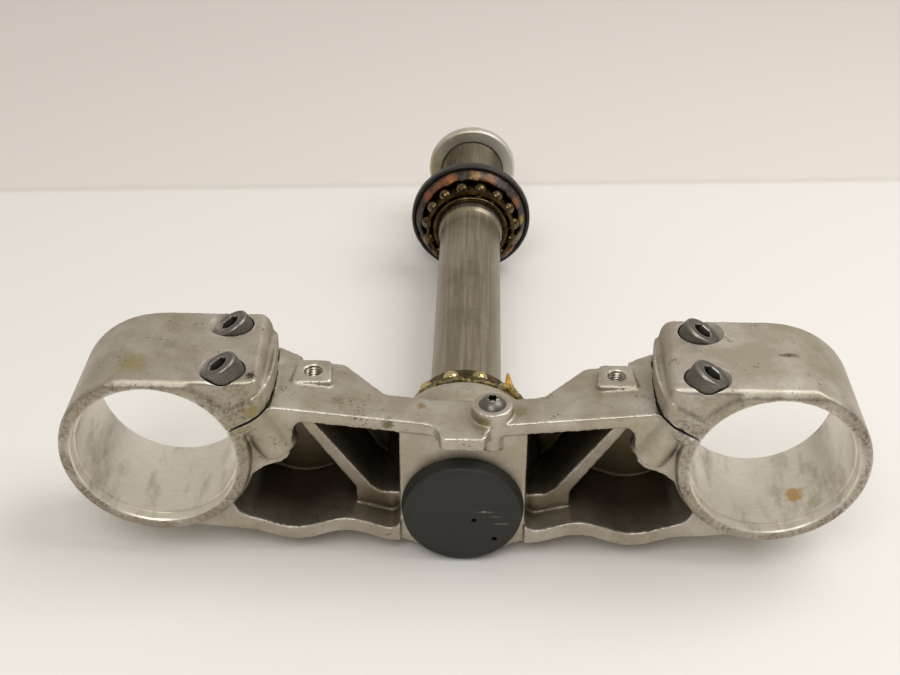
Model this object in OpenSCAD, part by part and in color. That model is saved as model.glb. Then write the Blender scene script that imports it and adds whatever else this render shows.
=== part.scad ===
// Lower fork yoke of a motorcycle with its steering stem, steering bearings and fasteners.
// The origin is on the steering axis, level with the under faces of the fork clamps.
// X runs from fork to fork, Y runs up the stem, and Z points to the front of the motorcycle.

/* [Fork clamps] */
// Distance between the two fork tube axes
fork_spacing = 210; // [196:1:224]
// Distance of the fork axes in front of the steering axis
fork_offset = 23.5; // [21:0.5:27]
// Radius of the fork tube bore
fork_bore_r = 27.5; // [26:0.25:28.5]
// Wall of the clamp ring
clamp_wall = 5.3; // [4.5:0.1:7]
// Height of the clamp along the fork tube
clamp_h = 41; // [38:0.5:46]
// Radial depth of the relief at both mouths of the bore
relief_r = 0.6; // [0.3:0.1:1]
// Depth of the relief at the lower mouth
relief_low = 4; // [2:0.5:6]
// Depth of the relief at the upper mouth
relief_high = 2.5; // [1.5:0.5:5]
// Edge rounding of the clamp ring
clamp_round = 1.5; // [1:0.25:2.5]
// Slope of the machined flat on the clamp front
flat_slope = 3; // [2:0.25:4]
// Wall of the clamp between the bore and the flat at the lower mouth
flat_wall = 3.5; // [3:0.1:4.2]
// Bevel between the flat and the lower face of the clamp
flat_bevel = 2; // [1:0.25:2.5]
// Thickness of the raised band of the ear above the slit
ear_band = 8; // [7:0.25:9]
// Step from the raised band back to the rest of the ear
ear_step = 1.1; // [0.6:0.1:1.5]
// Corner radius of the ear towards the bridge
ear_corner = 6; // [4:0.5:7]
// Reach of the ear past the body below the slit
ear_reach = 2.2; // [1:0.1:3]
// Corner radius of the ear at the upper face
ear_far_corner = 4; // [3:0.25:5]
// Radius of the bowed side of the ear
ear_bow_r = 60; // [50:1:80]
// Depth of the bow in the side of the ear
ear_bow = 1.5; // [1.2:0.1:2]

/* [Pinch bolts] */
// Slope of the clamp slit, measured from the fork to fork line
slit_angle = 29; // [26:0.5:32]
// Width of the clamp slit
slit_w = 1; // [0.6:0.1:1.6]
// Distance from the fork axis to the bolt at the slit, across the yoke
bolt_x = 33.6; // [33:0.2:34.4]
// Distance from the fork axis to the bolt at the slit, to the front
bolt_z = 15.7; // [15:0.1:16.4]
// Distance of the bolts from the clamp faces
bolt_inset = 8; // [7.5:0.25:10]
// Thread radius of the pinch bolt
bolt_r = 4; // [3.5:0.1:4.2]
// Head radius of the pinch bolt
bolt_head_r = 6.5; // [6:0.1:6.8]
// Head height of the pinch bolt
bolt_head_h = 8; // [7:0.5:9]
// Shank length of the pinch bolt
bolt_len = 30; // [26:1:34]
// Width across the flats of the hexagon socket
bolt_key = 6; // [5:0.5:7]
// Bevel of the bolt head and of the bolt end
bolt_bevel = 0.8; // [0.4:0.1:1.2]
// Wall round the thread of the pinch bolt
bolt_wall = 3.2; // [2.6:0.1:4]
// Distance from the slit to the seat of the bolt head
bolt_seat = 12.75; // [12:0.25:13.5]
// Radial room round the bolt head
bolt_head_gap = 0.5; // [0.3:0.1:0.8]
// Radial room round the bolt above the slit
bolt_gap = 0.4; // [0.2:0.1:0.6]

/* [Bridge] */
// Distance of the bridge faces behind the lower faces of the clamps
bridge_inset = 4; // [3:0.5:5]
// Thickness of the closed web at the top of the bridge
web_t = 5; // [4:0.5:7]
// Thickness of the rear wall
rear_t = 5.8; // [5:0.2:7]
// Mean distance of the rear wall behind the steering axis
rear_z = 14.1; // [13:0.1:15]
// Height of the waves in the rear wall
wave_h = 2.3; // [1.5:0.1:3]
// Length of one wave in the rear wall
wave_len = 37; // [35:0.5:39]
// Distance from the steering axis to the crest of the wave
wave_x = 41; // [40:0.5:42]
// Front face of the front flange at the hub
flange_z = 37.9; // [37:0.1:39]
// Rise of the front flange for each millimetre away from the hub
flange_rise = 0.11; // [0.09:0.005:0.12]
// Thickness of the front flange
flange_t = 5; // [4.5:0.1:6]
// Upper edge of the front flange between the tabs
flange_y = 19; // [17.5:0.5:20]
// Height of the crest line, above which the front flange falls away
crest_y = 14.5; // [13:0.5:16]
// Slope of the front flange above its crest line
crest_slope = 5; // [3:0.5:7]
// Thickness of the sloping wall that closes the bridge above the flange
slope_t = 4.5; // [4:0.25:5.5]
// Angle of the sloping wall
slope_angle = 36; // [33:0.5:38]
// Thickness of the diagonal ribs
rib_t = 4.2; // [3.6:0.1:4.6]
// Distance from the steering axis to the top of the ribs
rib_top_x = 54.2; // [53:0.2:54.6]
// Distance from the steering axis to the foot of the ribs
rib_foot_x = 34.6; // [33:0.2:37]
// Front end of the rib foot in front of the steering axis
rib_foot_z = 1.5; // [0:0.25:4]
// Distance of the foot of the diagonal ribs behind the bridge faces
rib_foot_y = 11; // [9:0.5:12]

/* [Tabs and pads] */
// Upper edge of the tabs
tab_y = 36; // [34.5:0.5:38]
// Inner edge of the tabs
tab_x = 41; // [39:0.5:43]
// Distance from the steering axis to the threaded hole in a pad
pad_x = 52.5; // [51.5:0.25:53]
// Height of the threaded hole in a pad
pad_y = 25.8; // [25:0.2:27]
// Front face of the pads
pad_z = 42.6; // [42.3:0.1:43.5]
// Width of a pad at its lower edge
pad_w = 14; // [13:0.5:14.5]
// Height of a pad
pad_h = 13.2; // [12:0.2:14]
// Corner radius of a pad
pad_corner = 1.5; // [1:0.25:2.5]
// Narrowing of a pad at each side from its lower to its upper edge
pad_taper = 1.1; // [0.5:0.1:1.5]
// Core radius of the threaded hole
pad_hole_r = 2.5; // [2:0.1:3]

/* [Hub] */
// Half width of the hub block
hub_x = 21.9; // [21:0.1:23]
// Radius of the rear of the hub
hub_r = 24; // [23:0.25:25]
// Distance of the flat land behind the steering axis
land_z = 21.8; // [21.7:0.1:22.6]
// Distance of the lower hub face behind the lower faces of the clamps
hub_inset = 5.5; // [5:0.25:6.5]
// Radius of the bearing boss on top of the hub
boss_r = 27.8; // [26:0.2:28]
// Height of the bearing boss
boss_h = 12; // [8:1:14]
// Rise of the bearing boss above the upper faces of the clamps
boss_rise = 1; // [0.5:0.25:3]
// Reach of the centre tongue below the flange
tongue_l = 7.4; // [5:0.2:9]
// Width of the centre tongue
tongue_w = 16; // [14:0.5:18]
// Radius of the screw boss beside the tongue
guide_boss_r = 7; // [6.2:0.1:7.4]
// Distance of the screw boss from the steering axis, across the yoke
guide_x = 9.7; // [9.4:0.1:10.4]
// Height of the screw boss above the lower faces of the clamps
guide_y = 10.4; // [9.8:0.1:11]
// Front face of the screw boss
guide_z = 41; // [40.4:0.1:42]
// Radius of the foot of the screw boss on the hub face
guide_foot_r = 4.2; // [3.6:0.1:4.6]

/* [Steering stem] */
// Radius of the stem between the bearings
stem_r = 13.85; // [13:0.05:14.5]
// Radius of the bearing journals and the thread
journal_r = 15; // [14.8:0.1:15.4]
// Radius of the hole through the stem
stem_bore_r = 10.5; // [9:0.25:11.5]
// Lower end of the stem above the lower faces of the clamps
stem_foot_y = 9.5; // [9:0.25:11]
// Upper end of the stem
stem_top_y = 272; // [270:0.5:273]
// Shoulder below the upper bearing
shoulder_y = 195; // [193:0.5:197]
// Play of pressed pieces on the stem
press_gap = 0.02; // [0.01:0.01:0.04]

/* [Steering bearings] */
// Radius of the circle through the ball centres
ball_pitch_r = 20; // [19.6:0.1:20.4]
// Radius of a ball
ball_r = 3.1; // [2.9:0.05:3.3]
// Play between a ball and its races and cage
ball_gap = 0.1; // [0.05:0.05:0.15]
// Thickness of the ball cages
cage_t = 1.2; // [0.8:0.1:1.6]
// Reach of the cage fingers behind the ball centres
cage_finger = 1.2; // [0.8:0.1:1.6]
// Width of the closed edge of the cages past the balls
cage_edge = 1; // [0.8:0.1:1.4]
// Number of balls in the lower bearing
lower_balls_n = 12; // [10:1:14]
// Number of balls in the upper bearing
upper_balls_n = 15; // [12:1:16]
// Distance from the back of a race to the ball centres
race_back = 10; // [8.5:0.25:11]
// Distance from the ball centres to the thin end of a race
race_lip = 4.2; // [3.6:0.1:6.5]
// Radius of the thin end of a race
race_lip_r = 17.6; // [17.4:0.1:18]
// Radius of the shoulder of a race
race_shoulder_r = 22.4; // [21.6:0.1:23]
// Thickness of the lower dust seal
seal_t = 2.5; // [2:0.25:3]
// Radius of the lower dust seal
seal_r = 22.6; // [21.6:0.1:22.8]
// Radial play of the seal and the dust cover on the stem
cover_gap = 0.2; // [0.1:0.05:0.4]
// Distance from the shoulder of the stem to the ball centres of the upper bearing
upper_ball_rise = 9.5; // [8:0.25:10]
// Radial room between the upper race and the rim of the dust cover
cover_room = 4.15; // [3.5:0.05:5]
// Wall of the rim of the upper dust cover
cover_wall = 1.6; // [1.2:0.1:2]
// Thickness of the upper dust cover
cover_t = 2.4; // [2:0.1:3]
// Depth of the rim of the upper dust cover
cover_rim = 5.5; // [4:0.25:7]

/* [Stem nut] */
// Distance from the upper end of the stem down to the lower face of the nut
nut_drop = 8.6; // [8:0.2:12]
// Thickness of the nut flange
nut_flange_t = 5.2; // [4.5:0.1:6]
// Radius of the nut flange
nut_flange_r = 21.6; // [21:0.1:23]
// Radius of the nut collar
nut_collar_r = 17.8; // [17:0.1:18]
// Height of the nut collar
nut_collar_h = 4.6; // [4:0.1:6]
// Width of the four spanner slots
nut_slot_w = 5; // [4:0.5:6]

/* [Hub plug] */
// Radius of the hub plug at the hub
plug_r = 21.5; // [20.5:0.05:21.6]
// Radius of the face of the hub plug
plug_face_r = 20.8; // [20:0.05:20.9]
// Radius of the recess that holds the plug
plug_socket_r = 18.5; // [17:0.25:19]
// Play of the plug in its recess
plug_gap = 0.1; // [0.05:0.05:0.2]
// Radius of the two small holes in the plug
plug_hole_r = 0.9; // [0.6:0.1:1.2]
// Thickness of the face and of the sleeve of the plug
plug_t = 3; // [2.4:0.1:3.6]
// Rounding of the edge of the plug face
plug_round = 1.2; // [0.8:0.1:2]
// First small hole from the steering axis, across the yoke
plug_hole_1_x = 4.1; // [3:0.1:6]
// First small hole behind the steering axis
plug_hole_1_z = 2.3; // [1:0.1:4]
// Second small hole from the steering axis, across the yoke
plug_hole_2_x = 11.4; // [9:0.1:12]
// Second small hole behind the steering axis
plug_hole_2_z = 10.7; // [8:0.1:11]

/* [Guide screw] */
// Thread radius of the guide screw
screw_r = 2.5; // [2:0.1:3]
// Head radius of the guide screw
screw_head_r = 4.75; // [4.5:0.05:5]
// Head height of the guide screw
screw_head_h = 2.75; // [2.4:0.05:3]
// Thread length of the guide screw
screw_len = 12; // [10:0.5:14]
// Depth of the six lobed socket
screw_socket_h = 1.8; // [1.2:0.1:2]
// Radius of the six lobed socket between its lobes
screw_socket_r = 1.5; // [1.2:0.05:1.8]
// Radius of one lobe of the socket
screw_lobe_r = 0.42; // [0.3:0.02:0.5]

/* [Hidden] */
$fn = 96;
eps = 0.01;
fork_x = fork_spacing / 2;
ring_r = fork_bore_r + clamp_wall;
flat_z = fork_offset + fork_bore_r + flat_wall;
bolt_ys = [bolt_inset, clamp_h - bolt_inset];
ear_x = fork_x - bolt_x - bolt_r - 1;
boss_tip = bolt_seat - bolt_len;
boss_y = clamp_h + boss_rise;
cover_r = race_shoulder_r + cover_room + cover_wall;
nut_y = stem_top_y - nut_drop;
lower_ball_y = boss_y + seal_t + race_back;
upper_ball_y = shoulder_y + upper_ball_rise;
cover_y = upper_ball_y + race_back;

function on_circle(cx, cy, r, a) = [cx + r * cos(a), cy + r * sin(a)];
function arc(cx, cy, r, a0, a1, n) = [for (i = [0:n]) on_circle(cx, cy, r, a0 + (a1 - a0) * i / n)];
function wave(x) = wave_h * cos(360 * (x - wave_x) / wave_len) - rear_z;
function flange_front(x) = flange_z + flange_rise * (x - hub_x);
function slit_z(x) = fork_offset + bolt_z - (x - fork_x + bolt_x) * tan(slit_angle);

// A slab with an outline in X and Z, from height y0 to height y1.
module slab(y0, y1) {
    translate([0, y1, 0]) rotate([90, 0, 0]) linear_extrude(y1 - y0) children();
}

// A turned piece with its outline given as radius and height along the stem.
module turned() {
    rotate([-90, 0, 0]) rotate_extrude() children();
}

// A rod along the stem direction.
module rod(r, y0, y1) {
    translate([0, y0, 0]) rotate([-90, 0, 0]) cylinder(h = y1 - y0, r = r);
}

module both_sides() {
    children();
    mirror([1, 0, 0]) children();
}

// Places its children on the axis of a right hand pinch bolt, with Z pointing to the head.
module on_bolt(y) {
    translate([fork_x - bolt_x, y, fork_offset + bolt_z]) rotate([0, slit_angle, 0]) children();
}

// Outline of the bridge between hub and fork clamp, without its pockets.
module bridge_outline() {
    wave_xs = [for (i = [0:14]) hub_x + (78 - hub_x) * i / 14];
    polygon(concat(
        [[0, 2 - hub_r], [hub_x - 8, 4.5 - hub_r]],
        [for (x = wave_xs) [x, wave(x)]],
        [
            [fork_x - 21, 1.9 - ring_r + fork_offset - 4], [fork_x - 12, fork_offset - ring_r - 1],
            [fork_x - 5, fork_offset - ring_r + 0.4], [fork_x, fork_offset],
            [fork_x - 24, fork_offset + 13], [ear_x, flange_front(ear_x)],
            [tongue_w / 2, flange_front(tongue_w / 2)], [0, flange_front(tongue_w / 2)]
        ]
    ));
}

// Outline of one pocket between hub, flange, clamp and rear wall.
module pocket_outline() {
    corner = 4;
    top_x = rib_top_x - 0.6;
    wave_xs = [for (i = [0:12]) 74 - (74 - hub_x - corner) * i / 12];
    foot_z = wave(hub_x + corner) + rear_t;
    polygon(concat(
        [[hub_x, flange_front(hub_x) - flange_t]],
        arc(top_x, flange_front(top_x) - flange_t - corner, corner, 90, 0, 4),
        [
            [ear_x - 8.2, fork_offset + 3], [ear_x - 7, fork_offset - 1.5], [ear_x - 4.4, fork_offset - 4.3],
            [ear_x - 0.4, fork_offset - 5.5], [ear_x + 2.8, fork_offset - 7.2]
        ],
        arc(fork_x, fork_offset, ring_r + 1.2, 197, 224, 5),
        [[78.5, wave(78.5) + rear_t + 1.8], [76.4, wave(76.4) + rear_t + 0.4]],
        [for (x = wave_xs) [x, wave(x) + rear_t]],
        arc(hub_x + corner, foot_z + corner, corner, 270, 180, 4)
    ));
}

// Space in front of the sloping wall that closes the bridge between the tabs.
module above_slope(drop) {
    translate([-fork_x, flange_y, flange_z - flange_t + 2])
        rotate([-slope_angle, 0, 0])
            translate([0, -3 * flange_y, -drop]) cube([2 * fork_x, 6 * flange_y, 3 * flange_y]);
}

// Front flange seen from the front, from the tongue to the clamp and up to the tab.
module flange_plan() {
    half = tongue_w / 2;
    foot = bridge_inset - tongue_l;
    polygon(concat(
        [[-half, foot + 1.5]],
        [[1.5 - half, foot], [half - 1.5, foot], [half, foot + 1.5]],
        arc(half + 5, bridge_inset - 5, 5, 180, 90, 4),
        [[ear_x + 1, bridge_inset], [ear_x + 1, tab_y]],
        arc(tab_x + 2.5, tab_y - 2.5, 2.5, 90, 150, 3),
        arc(tab_x - 15, flange_y + 3, 3, -30, -90, 3),
        arc(15 - tab_x, flange_y + 3, 3, -90, -150, 3),
        arc(-tab_x - 2.5, tab_y - 2.5, 2.5, 30, 90, 3),
        [[-ear_x - 1, tab_y], [-ear_x - 1, bridge_inset]],
        arc(-half - 5, bridge_inset - 5, 5, 90, 0, 4)
    ));
}

// Section of the front flange, which rises from the hub to the clamps.
module flange_section() {
    low = flange_front(tongue_w / 2);
    high = flange_front(ear_x + 1);
    half = tongue_w / 2;
    polygon([
        [-ear_x - 1, high], [-half, low], [half, low], [ear_x + 1, high],
        [ear_x + 1, high - flange_t], [half, low - flange_t],
        [-half, low - flange_t], [-ear_x - 1, high - flange_t]
    ]);
}

module front_flange() {
    intersection() {
        slab(bridge_inset - tongue_l, tab_y) flange_section();
        translate([0, 0, -eps]) linear_extrude(2 * fork_offset + flange_z) flange_plan();
    }
}

// Raised seat with straight sides that narrows upwards.
module pad() {
    half = pad_w / 2 - pad_corner;
    high = pad_h / 2 - pad_corner;
    low = flange_front(pad_x - pad_w / 2) - flange_t + 1;
    translate([pad_x, pad_y, low]) linear_extrude(pad_z - low)
        polygon(concat(
            arc(half, -high, pad_corner, -90, 0, 3),
            arc(half - pad_taper, high, pad_corner, 0, 90, 3),
            arc(pad_taper - half, high, pad_corner, 90, 180, 3),
            arc(-half, -high, pad_corner, 180, 270, 3)
        ));
}

// Diagonal rib that stiffens a pocket, with its foot against the hub.
module rib() {
    top_z = flange_front(rib_top_x) - flange_t + 1;
    lean = atan2(rib_top_x - rib_foot_x, top_z - rib_foot_z);
    side = rib_t / 2 / cos(lean);
    foot_depth = bridge_inset + rib_foot_y;
    cut = atan2(rib_foot_y - 1.5, top_z - wave(rib_foot_x));
    difference() {
        slab(bridge_inset + 1, clamp_h - web_t + 1) polygon([
            [rib_top_x - side, top_z], [rib_top_x + side, top_z], [rib_foot_x + side + 1, rib_foot_z],
            [rib_foot_x + side + 1, wave(rib_foot_x) + rear_t - 1],
            [hub_x - 1, wave(hub_x) + rear_t - 1], [hub_x - 1, rib_foot_z - 2.5],
            [rib_foot_x - 6, rib_foot_z - 2], [rib_foot_x - side, rib_foot_z + 1]
        ]);
        translate([0, bridge_inset + 1.5, top_z]) rotate([cut, 0, 0])
            translate([0, -4 * rib_foot_y, -2 * fork_offset - ring_r])
                cube([fork_x, 4 * rib_foot_y, 2 * fork_offset + 2 * ring_r]);
    }
}

// Ring round one fork tube with rounded outer edges.
module clamp_ring() {
    translate([fork_x, 0, fork_offset]) turned() polygon(concat(
        [[fork_bore_r - 2, 0]],
        arc(ring_r - clamp_round, clamp_round, clamp_round, -90, 0, 3),
        arc(ring_r - clamp_round, clamp_h - clamp_round, clamp_round, 0, 90, 3),
        [[fork_bore_r - 2, clamp_h]]
    ));
}

// Outline of the ear seen from the front, set back by a step all round.
module ear_front(step) {
    side = ear_x - ear_reach;
    low = ear_corner - step;
    high = ear_far_corner - step;
    turn = asin((clamp_h / 2 - ear_bow - ear_corner - 0.5) / ear_bow_r);
    polygon(concat(
        [[fork_x, step]],
        arc(side + ear_bow + ear_corner, ear_corner, low, 270, 180, 4),
        arc(side + ear_bow_r + step, clamp_h / 2 - ear_bow, ear_bow_r, 180 + turn, 180 - turn, 4),
        arc(side + ear_bow + ear_far_corner, clamp_h - ear_far_corner, high, 180, 90, 3),
        [[fork_x, clamp_h - step]]
    ));
}

// Ear above the slit: a band along the slit, and the rest of the ear one step behind it.
module upper_ear() {
    top = fork_offset + ring_r;
    side = ear_x - ear_reach - 1;
    intersection() {
        slab(0, clamp_h) polygon([
            [fork_x - fork_bore_r + 2, fork_offset + 4], [side, slit_z(side) - 1],
            [side, slit_z(side) + ear_band], [fork_x - ring_r / 2, slit_z(fork_x - ring_r / 2) + ear_band]
        ]);
        linear_extrude(2 * flat_z) ear_front(0);
    }
    intersection() {
        slab(0, clamp_h) polygon(concat(
            [[fork_x, top], [fork_x - 6, top + 1.5]],
            arc(side + ear_corner + 2 * ear_step + 2, top - 5, ear_corner, 90, 180, 5),
            [
                [side, slit_z(side)], [fork_x - fork_bore_r, fork_offset + 4],
                [fork_x, fork_offset + fork_bore_r - 2]
            ]
        ));
        linear_extrude(2 * flat_z) ear_front(ear_step);
    }
}

// Body below the slit that holds the threads of the pinch bolts.
module lower_ear() {
    slab(bridge_inset, clamp_h) polygon([
        [ear_x, flange_front(ear_x) - 0.6], [ear_x - 8.6, flange_front(ear_x) - flange_t],
        [ear_x - 8.6, fork_offset + 8], [ear_x - 8.2, fork_offset + 3],
 [ear_x - 7, fork_offset - 1.5], [ear_x - 4.4, fork_offset - 4.3],
        [ear_x - 0.4, fork_offset - 5.5], [ear_x + 2.8, fork_offset - 7.2], [ear_x + 9, fork_offset - 12],
        [fork_x - fork_bore_r - 1, fork_offset], [fork_x - fork_bore_r - 1, fork_offset + 12]
    ]);
    for (y = bolt_ys)
        on_bolt(y) translate([0, 0, boss_tip - 1]) cylinder(h = 1 - boss_tip, r = bolt_r + bolt_wall);
}

// Seat of the lower bearing, which flares out of the hub block.
module bearing_boss() {
    turned() polygon([
        [0, boss_y - 2 * boss_h], [hub_x - 2, boss_y - 2 * boss_h], [boss_r, boss_y - boss_h + 1],
        [boss_r, boss_y - 1], [boss_r - 1, boss_y], [0, boss_y]
    ]);
}

module hub_block() {
    slab(hub_inset, clamp_h) {
        translate([-hub_x, 0]) square([2 * hub_x, flange_z - 2]);
        intersection() {
            circle(r = hub_r);
            translate([8 - hub_x, -hub_r]) square([2 * (hub_x - 8), hub_r]);
        }
    }
}

// Boss of the guide screw, which runs down the hub face beside the tongue.
module guide_boss() {
    translate([guide_x, guide_y, flange_z - flange_t])
        cylinder(h = guide_z - flange_z + flange_t, r = guide_boss_r);
    translate([guide_x, hub_inset + 1.6, flange_z - 12]) cylinder(h = 10, r = guide_foot_r);
}

module bolt_holes() {
    for (y = bolt_ys) on_bolt(y) {
        cylinder(h = bolt_seat + 1, r = bolt_r + bolt_gap);
        translate([0, 0, bolt_seat]) cylinder(h = 4 * bolt_head_h, r = bolt_head_r + bolt_head_gap);
        translate([0, 0, boss_tip - 2]) cylinder(h = 3 - boss_tip, r = bolt_r + press_gap);
    }
}

module slit() {
    translate([fork_x - bolt_x, -1, fork_offset + bolt_z]) rotate([0, slit_angle, 0])
        translate([ear_x - fork_x + bolt_x - 8, 0, -slit_w / 2]) cube([2 * bolt_r + 17, clamp_h + 2, slit_w]);
}

// Machined flat on the front of a clamp, with its bevel towards the lower face.
module front_flat() {
    translate([-eps, -1, flat_z]) rotate([flat_slope, 0, 0])
        translate([0, -clamp_h / 2, 0]) cube([2 * fork_x, 2 * clamp_h, clamp_h]);
    translate([-eps, 0, flat_z - flat_bevel]) rotate([45 + flat_slope / 2, 0, 0])
        translate([0, -clamp_h, 0]) cube([2 * fork_x, 2 * clamp_h, clamp_h]);
}

// Space in front of the flange above its crest line, from the tongue outwards.
module above_crest() {
    half = tongue_w / 2;
    translate([0, crest_y, flange_front(half)]) rotate([-crest_slope, 0, 0])
        translate([-half, 0, 0]) cube([2 * half, tab_y, tab_y]);
    both_sides() translate([half, crest_y, flange_front(half)]) rotate([0, -atan(flange_rise), 0])
        rotate([-crest_slope, 0, 0]) cube([fork_x, tab_y, tab_y]);
}

module fork_bore() {
    translate([fork_x, 0, fork_offset]) {
        rod(fork_bore_r, -1, clamp_h + 1);
        rod(fork_bore_r + relief_r, -1, relief_low);
        rod(fork_bore_r + relief_r, clamp_h - relief_high, clamp_h + 1);
    }
}

module lower_yoke() {
    color([0.64, 0.61, 0.56]) difference() {
        union() {
            difference() {
                union() {
                    both_sides() slab(bridge_inset, clamp_h) bridge_outline();
                    hub_block();
                }
                above_slope(0);
                above_crest();
                translate([-hub_x, -1, -2 * hub_r]) cube([2 * hub_x, hub_inset + 1, 4 * hub_r]);
                both_sides() difference() {
                    slab(-1, clamp_h - web_t) pocket_outline();
                    above_slope(slope_t);
                }
            }
            both_sides() rib();
            difference() {
                front_flange();
                above_crest();
            }
            both_sides() pad();
            both_sides() lower_ear();
            both_sides() clamp_ring();
            both_sides() upper_ear();
            bearing_boss();
            guide_boss();
        }
        both_sides() front_flat();
        both_sides() fork_bore();
        both_sides() bolt_holes();
        both_sides() slit();
        both_sides() translate([pad_x, pad_y, flange_z - flange_t]) cylinder(h = flange_z, r = pad_hole_r);
        translate([guide_x, guide_y, guide_z - screw_len - 1])
            cylinder(h = screw_len + 2, r = screw_r + press_gap);
        rod(journal_r, -1, boss_y + 1);
        rod(plug_socket_r, -1, stem_foot_y);
        translate([-2 * hub_r, -1, -land_z - hub_r]) cube([4 * hub_r, clamp_h + 3, hub_r]);
    }
}

// Steel tube with bearing journals at both ends and a thread at the top.
module steering_stem() {
    journal = journal_r - press_gap;
    color([0.47, 0.44, 0.4]) turned() polygon([
        [stem_bore_r, stem_foot_y], [journal - 1, stem_foot_y],
        [journal, stem_foot_y + 1], [journal, lower_ball_y + race_lip],
        [stem_r, lower_ball_y + race_lip + 2], [stem_r, shoulder_y], [journal, shoulder_y + 2],
        [journal, stem_top_y - 1.5], [journal - 1.5, stem_top_y],
        [stem_bore_r + 1, stem_top_y], [stem_bore_r, stem_top_y - 1]
    ]);
}

// Flexible cap over the foot of the stem.
module hub_plug() {
    color([0.2, 0.19, 0.18]) difference() {
        turned() polygon(concat(
            [[0, 0]],
            arc(plug_face_r - plug_round, plug_round, plug_round, -90, 0, 3),
            [
                [plug_r, hub_inset], [plug_socket_r - plug_gap, hub_inset],
                [plug_socket_r - plug_gap, stem_foot_y - plug_gap],
                [plug_socket_r - plug_t, stem_foot_y - plug_gap],
                [plug_socket_r - plug_t, plug_t], [0, plug_t]
            ]
        ));
        translate([plug_hole_1_x, 0, -plug_hole_1_z]) rod(plug_hole_r, -1, plug_t + 1);
        translate([plug_hole_2_x, 0, -plug_hole_2_z]) rod(plug_hole_r, -1, plug_t + 1);
    }
}

// Socket head cap screw along Z, with its head seat at height 0.
module cap_screw() {
    color([0.45, 0.44, 0.42]) difference() {
        rotate_extrude() polygon([
            [0, -bolt_len], [bolt_r - bolt_bevel, -bolt_len], [bolt_r, bolt_bevel - bolt_len], [bolt_r, 0],
            [bolt_head_r, 0], [bolt_head_r, bolt_head_h - bolt_bevel],
            [bolt_head_r - bolt_bevel, bolt_head_h], [0, bolt_head_h]
        ]);
        translate([0, 0, bolt_head_h / 2])
            cylinder(h = bolt_head_h, r = bolt_key / 2 / cos(30), $fn = 6);
    }
}

module pinch_bolt(side, y) {
    mirror([1 - side, 0, 0]) on_bolt(y) translate([0, 0, bolt_seat]) cap_screw();
}

module pinch_bolt_left_lower() {
    pinch_bolt(0, bolt_ys[0]);
}

module pinch_bolt_left_upper() {
    pinch_bolt(0, bolt_ys[1]);
}

module pinch_bolt_right_lower() {
    pinch_bolt(1, bolt_ys[0]);
}

module pinch_bolt_right_upper() {
    pinch_bolt(1, bolt_ys[1]);
}

// Button head screw with a six lobed socket.
module guide_screw() {
    dome = (screw_head_r * screw_head_r + screw_head_h * screw_head_h) / (2 * screw_head_h);
    color([0.5, 0.49, 0.47]) translate([guide_x, guide_y, guide_z]) difference() {
        union() {
            intersection() {
                cylinder(h = screw_head_h, r = screw_head_r);
                translate([0, 0, screw_head_h - dome]) sphere(r = dome);
            }
            translate([0, 0, -screw_len]) cylinder(h = screw_len + 1, r = screw_r);
        }
        translate([0, 0, screw_head_h - screw_socket_h]) {
            cylinder(h = screw_head_h, r = screw_socket_r);
            for (i = [0:5]) rotate([0, 0, 60 * i])
                translate([screw_socket_r, 0, 0]) cylinder(h = screw_head_h, r = screw_lobe_r, $fn = 24);
        }
    }
}

module lower_dust_seal() {
    color([0.12, 0.12, 0.12]) turned() polygon([
        [journal_r + cover_gap, boss_y], [seal_r - 1, boss_y], [seal_r, boss_y + 1],
        [seal_r - 1.5, boss_y + seal_t], [journal_r + cover_gap, boss_y + seal_t]
    ]);
}

// Inner race with its back at height 0 and its thin end away from it.
module inner_race() {
    difference() {
        turned() polygon([
            [journal_r, 0], [race_shoulder_r - 0.6, 0], [race_shoulder_r, 0.6],
            [race_shoulder_r, race_back - 1], [ball_pitch_r, race_back],
            [race_lip_r, race_back + race_lip - 0.4], [race_lip_r - 0.4, race_back + race_lip],
            [journal_r + 1, race_back + race_lip], [journal_r, race_back + race_lip - 1]
        ]);
        turned() translate([ball_pitch_r, race_back]) circle(r = ball_r + ball_gap);
    }
}

// Ring of n balls with radius r at height 0.
module ball_ring(n, r) {
    for (i = [0:n - 1])
        rotate([0, 360 * (i + 0.5) / n, 0]) translate([0, 0, ball_pitch_r]) sphere(r = r, $fn = 48);
}

// Crown cage with a pocket for each ball, whose closed edge lies past the balls.
module ball_cage(n) {
    difference() {
        turned() translate([ball_pitch_r - cage_t / 2, -cage_finger])
            square([cage_t, cage_finger + ball_r + cage_edge]);
        ball_ring(n, ball_r + ball_gap);
    }
}

module lower_inner_race() {
    color([0.6, 0.58, 0.55]) translate([0, boss_y + seal_t, 0]) inner_race();
}

module lower_ball_cage() {
    color([0.62, 0.5, 0.24]) translate([0, lower_ball_y, 0]) ball_cage(lower_balls_n);
}

module lower_balls() {
    color([0.75, 0.74, 0.7]) translate([0, lower_ball_y, 0]) ball_ring(lower_balls_n, ball_r);
}

module upper_inner_race() {
    color([0.6, 0.58, 0.55]) translate([0, cover_y, 0]) mirror([0, 1, 0]) inner_race();
}

module upper_ball_cage() {
    color([0.35, 0.26, 0.16]) translate([0, upper_ball_y, 0]) mirror([0, 1, 0]) ball_cage(upper_balls_n);
}

module upper_balls() {
    color([0.75, 0.74, 0.7]) translate([0, upper_ball_y, 0]) ball_ring(upper_balls_n, ball_r);
}

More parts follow.
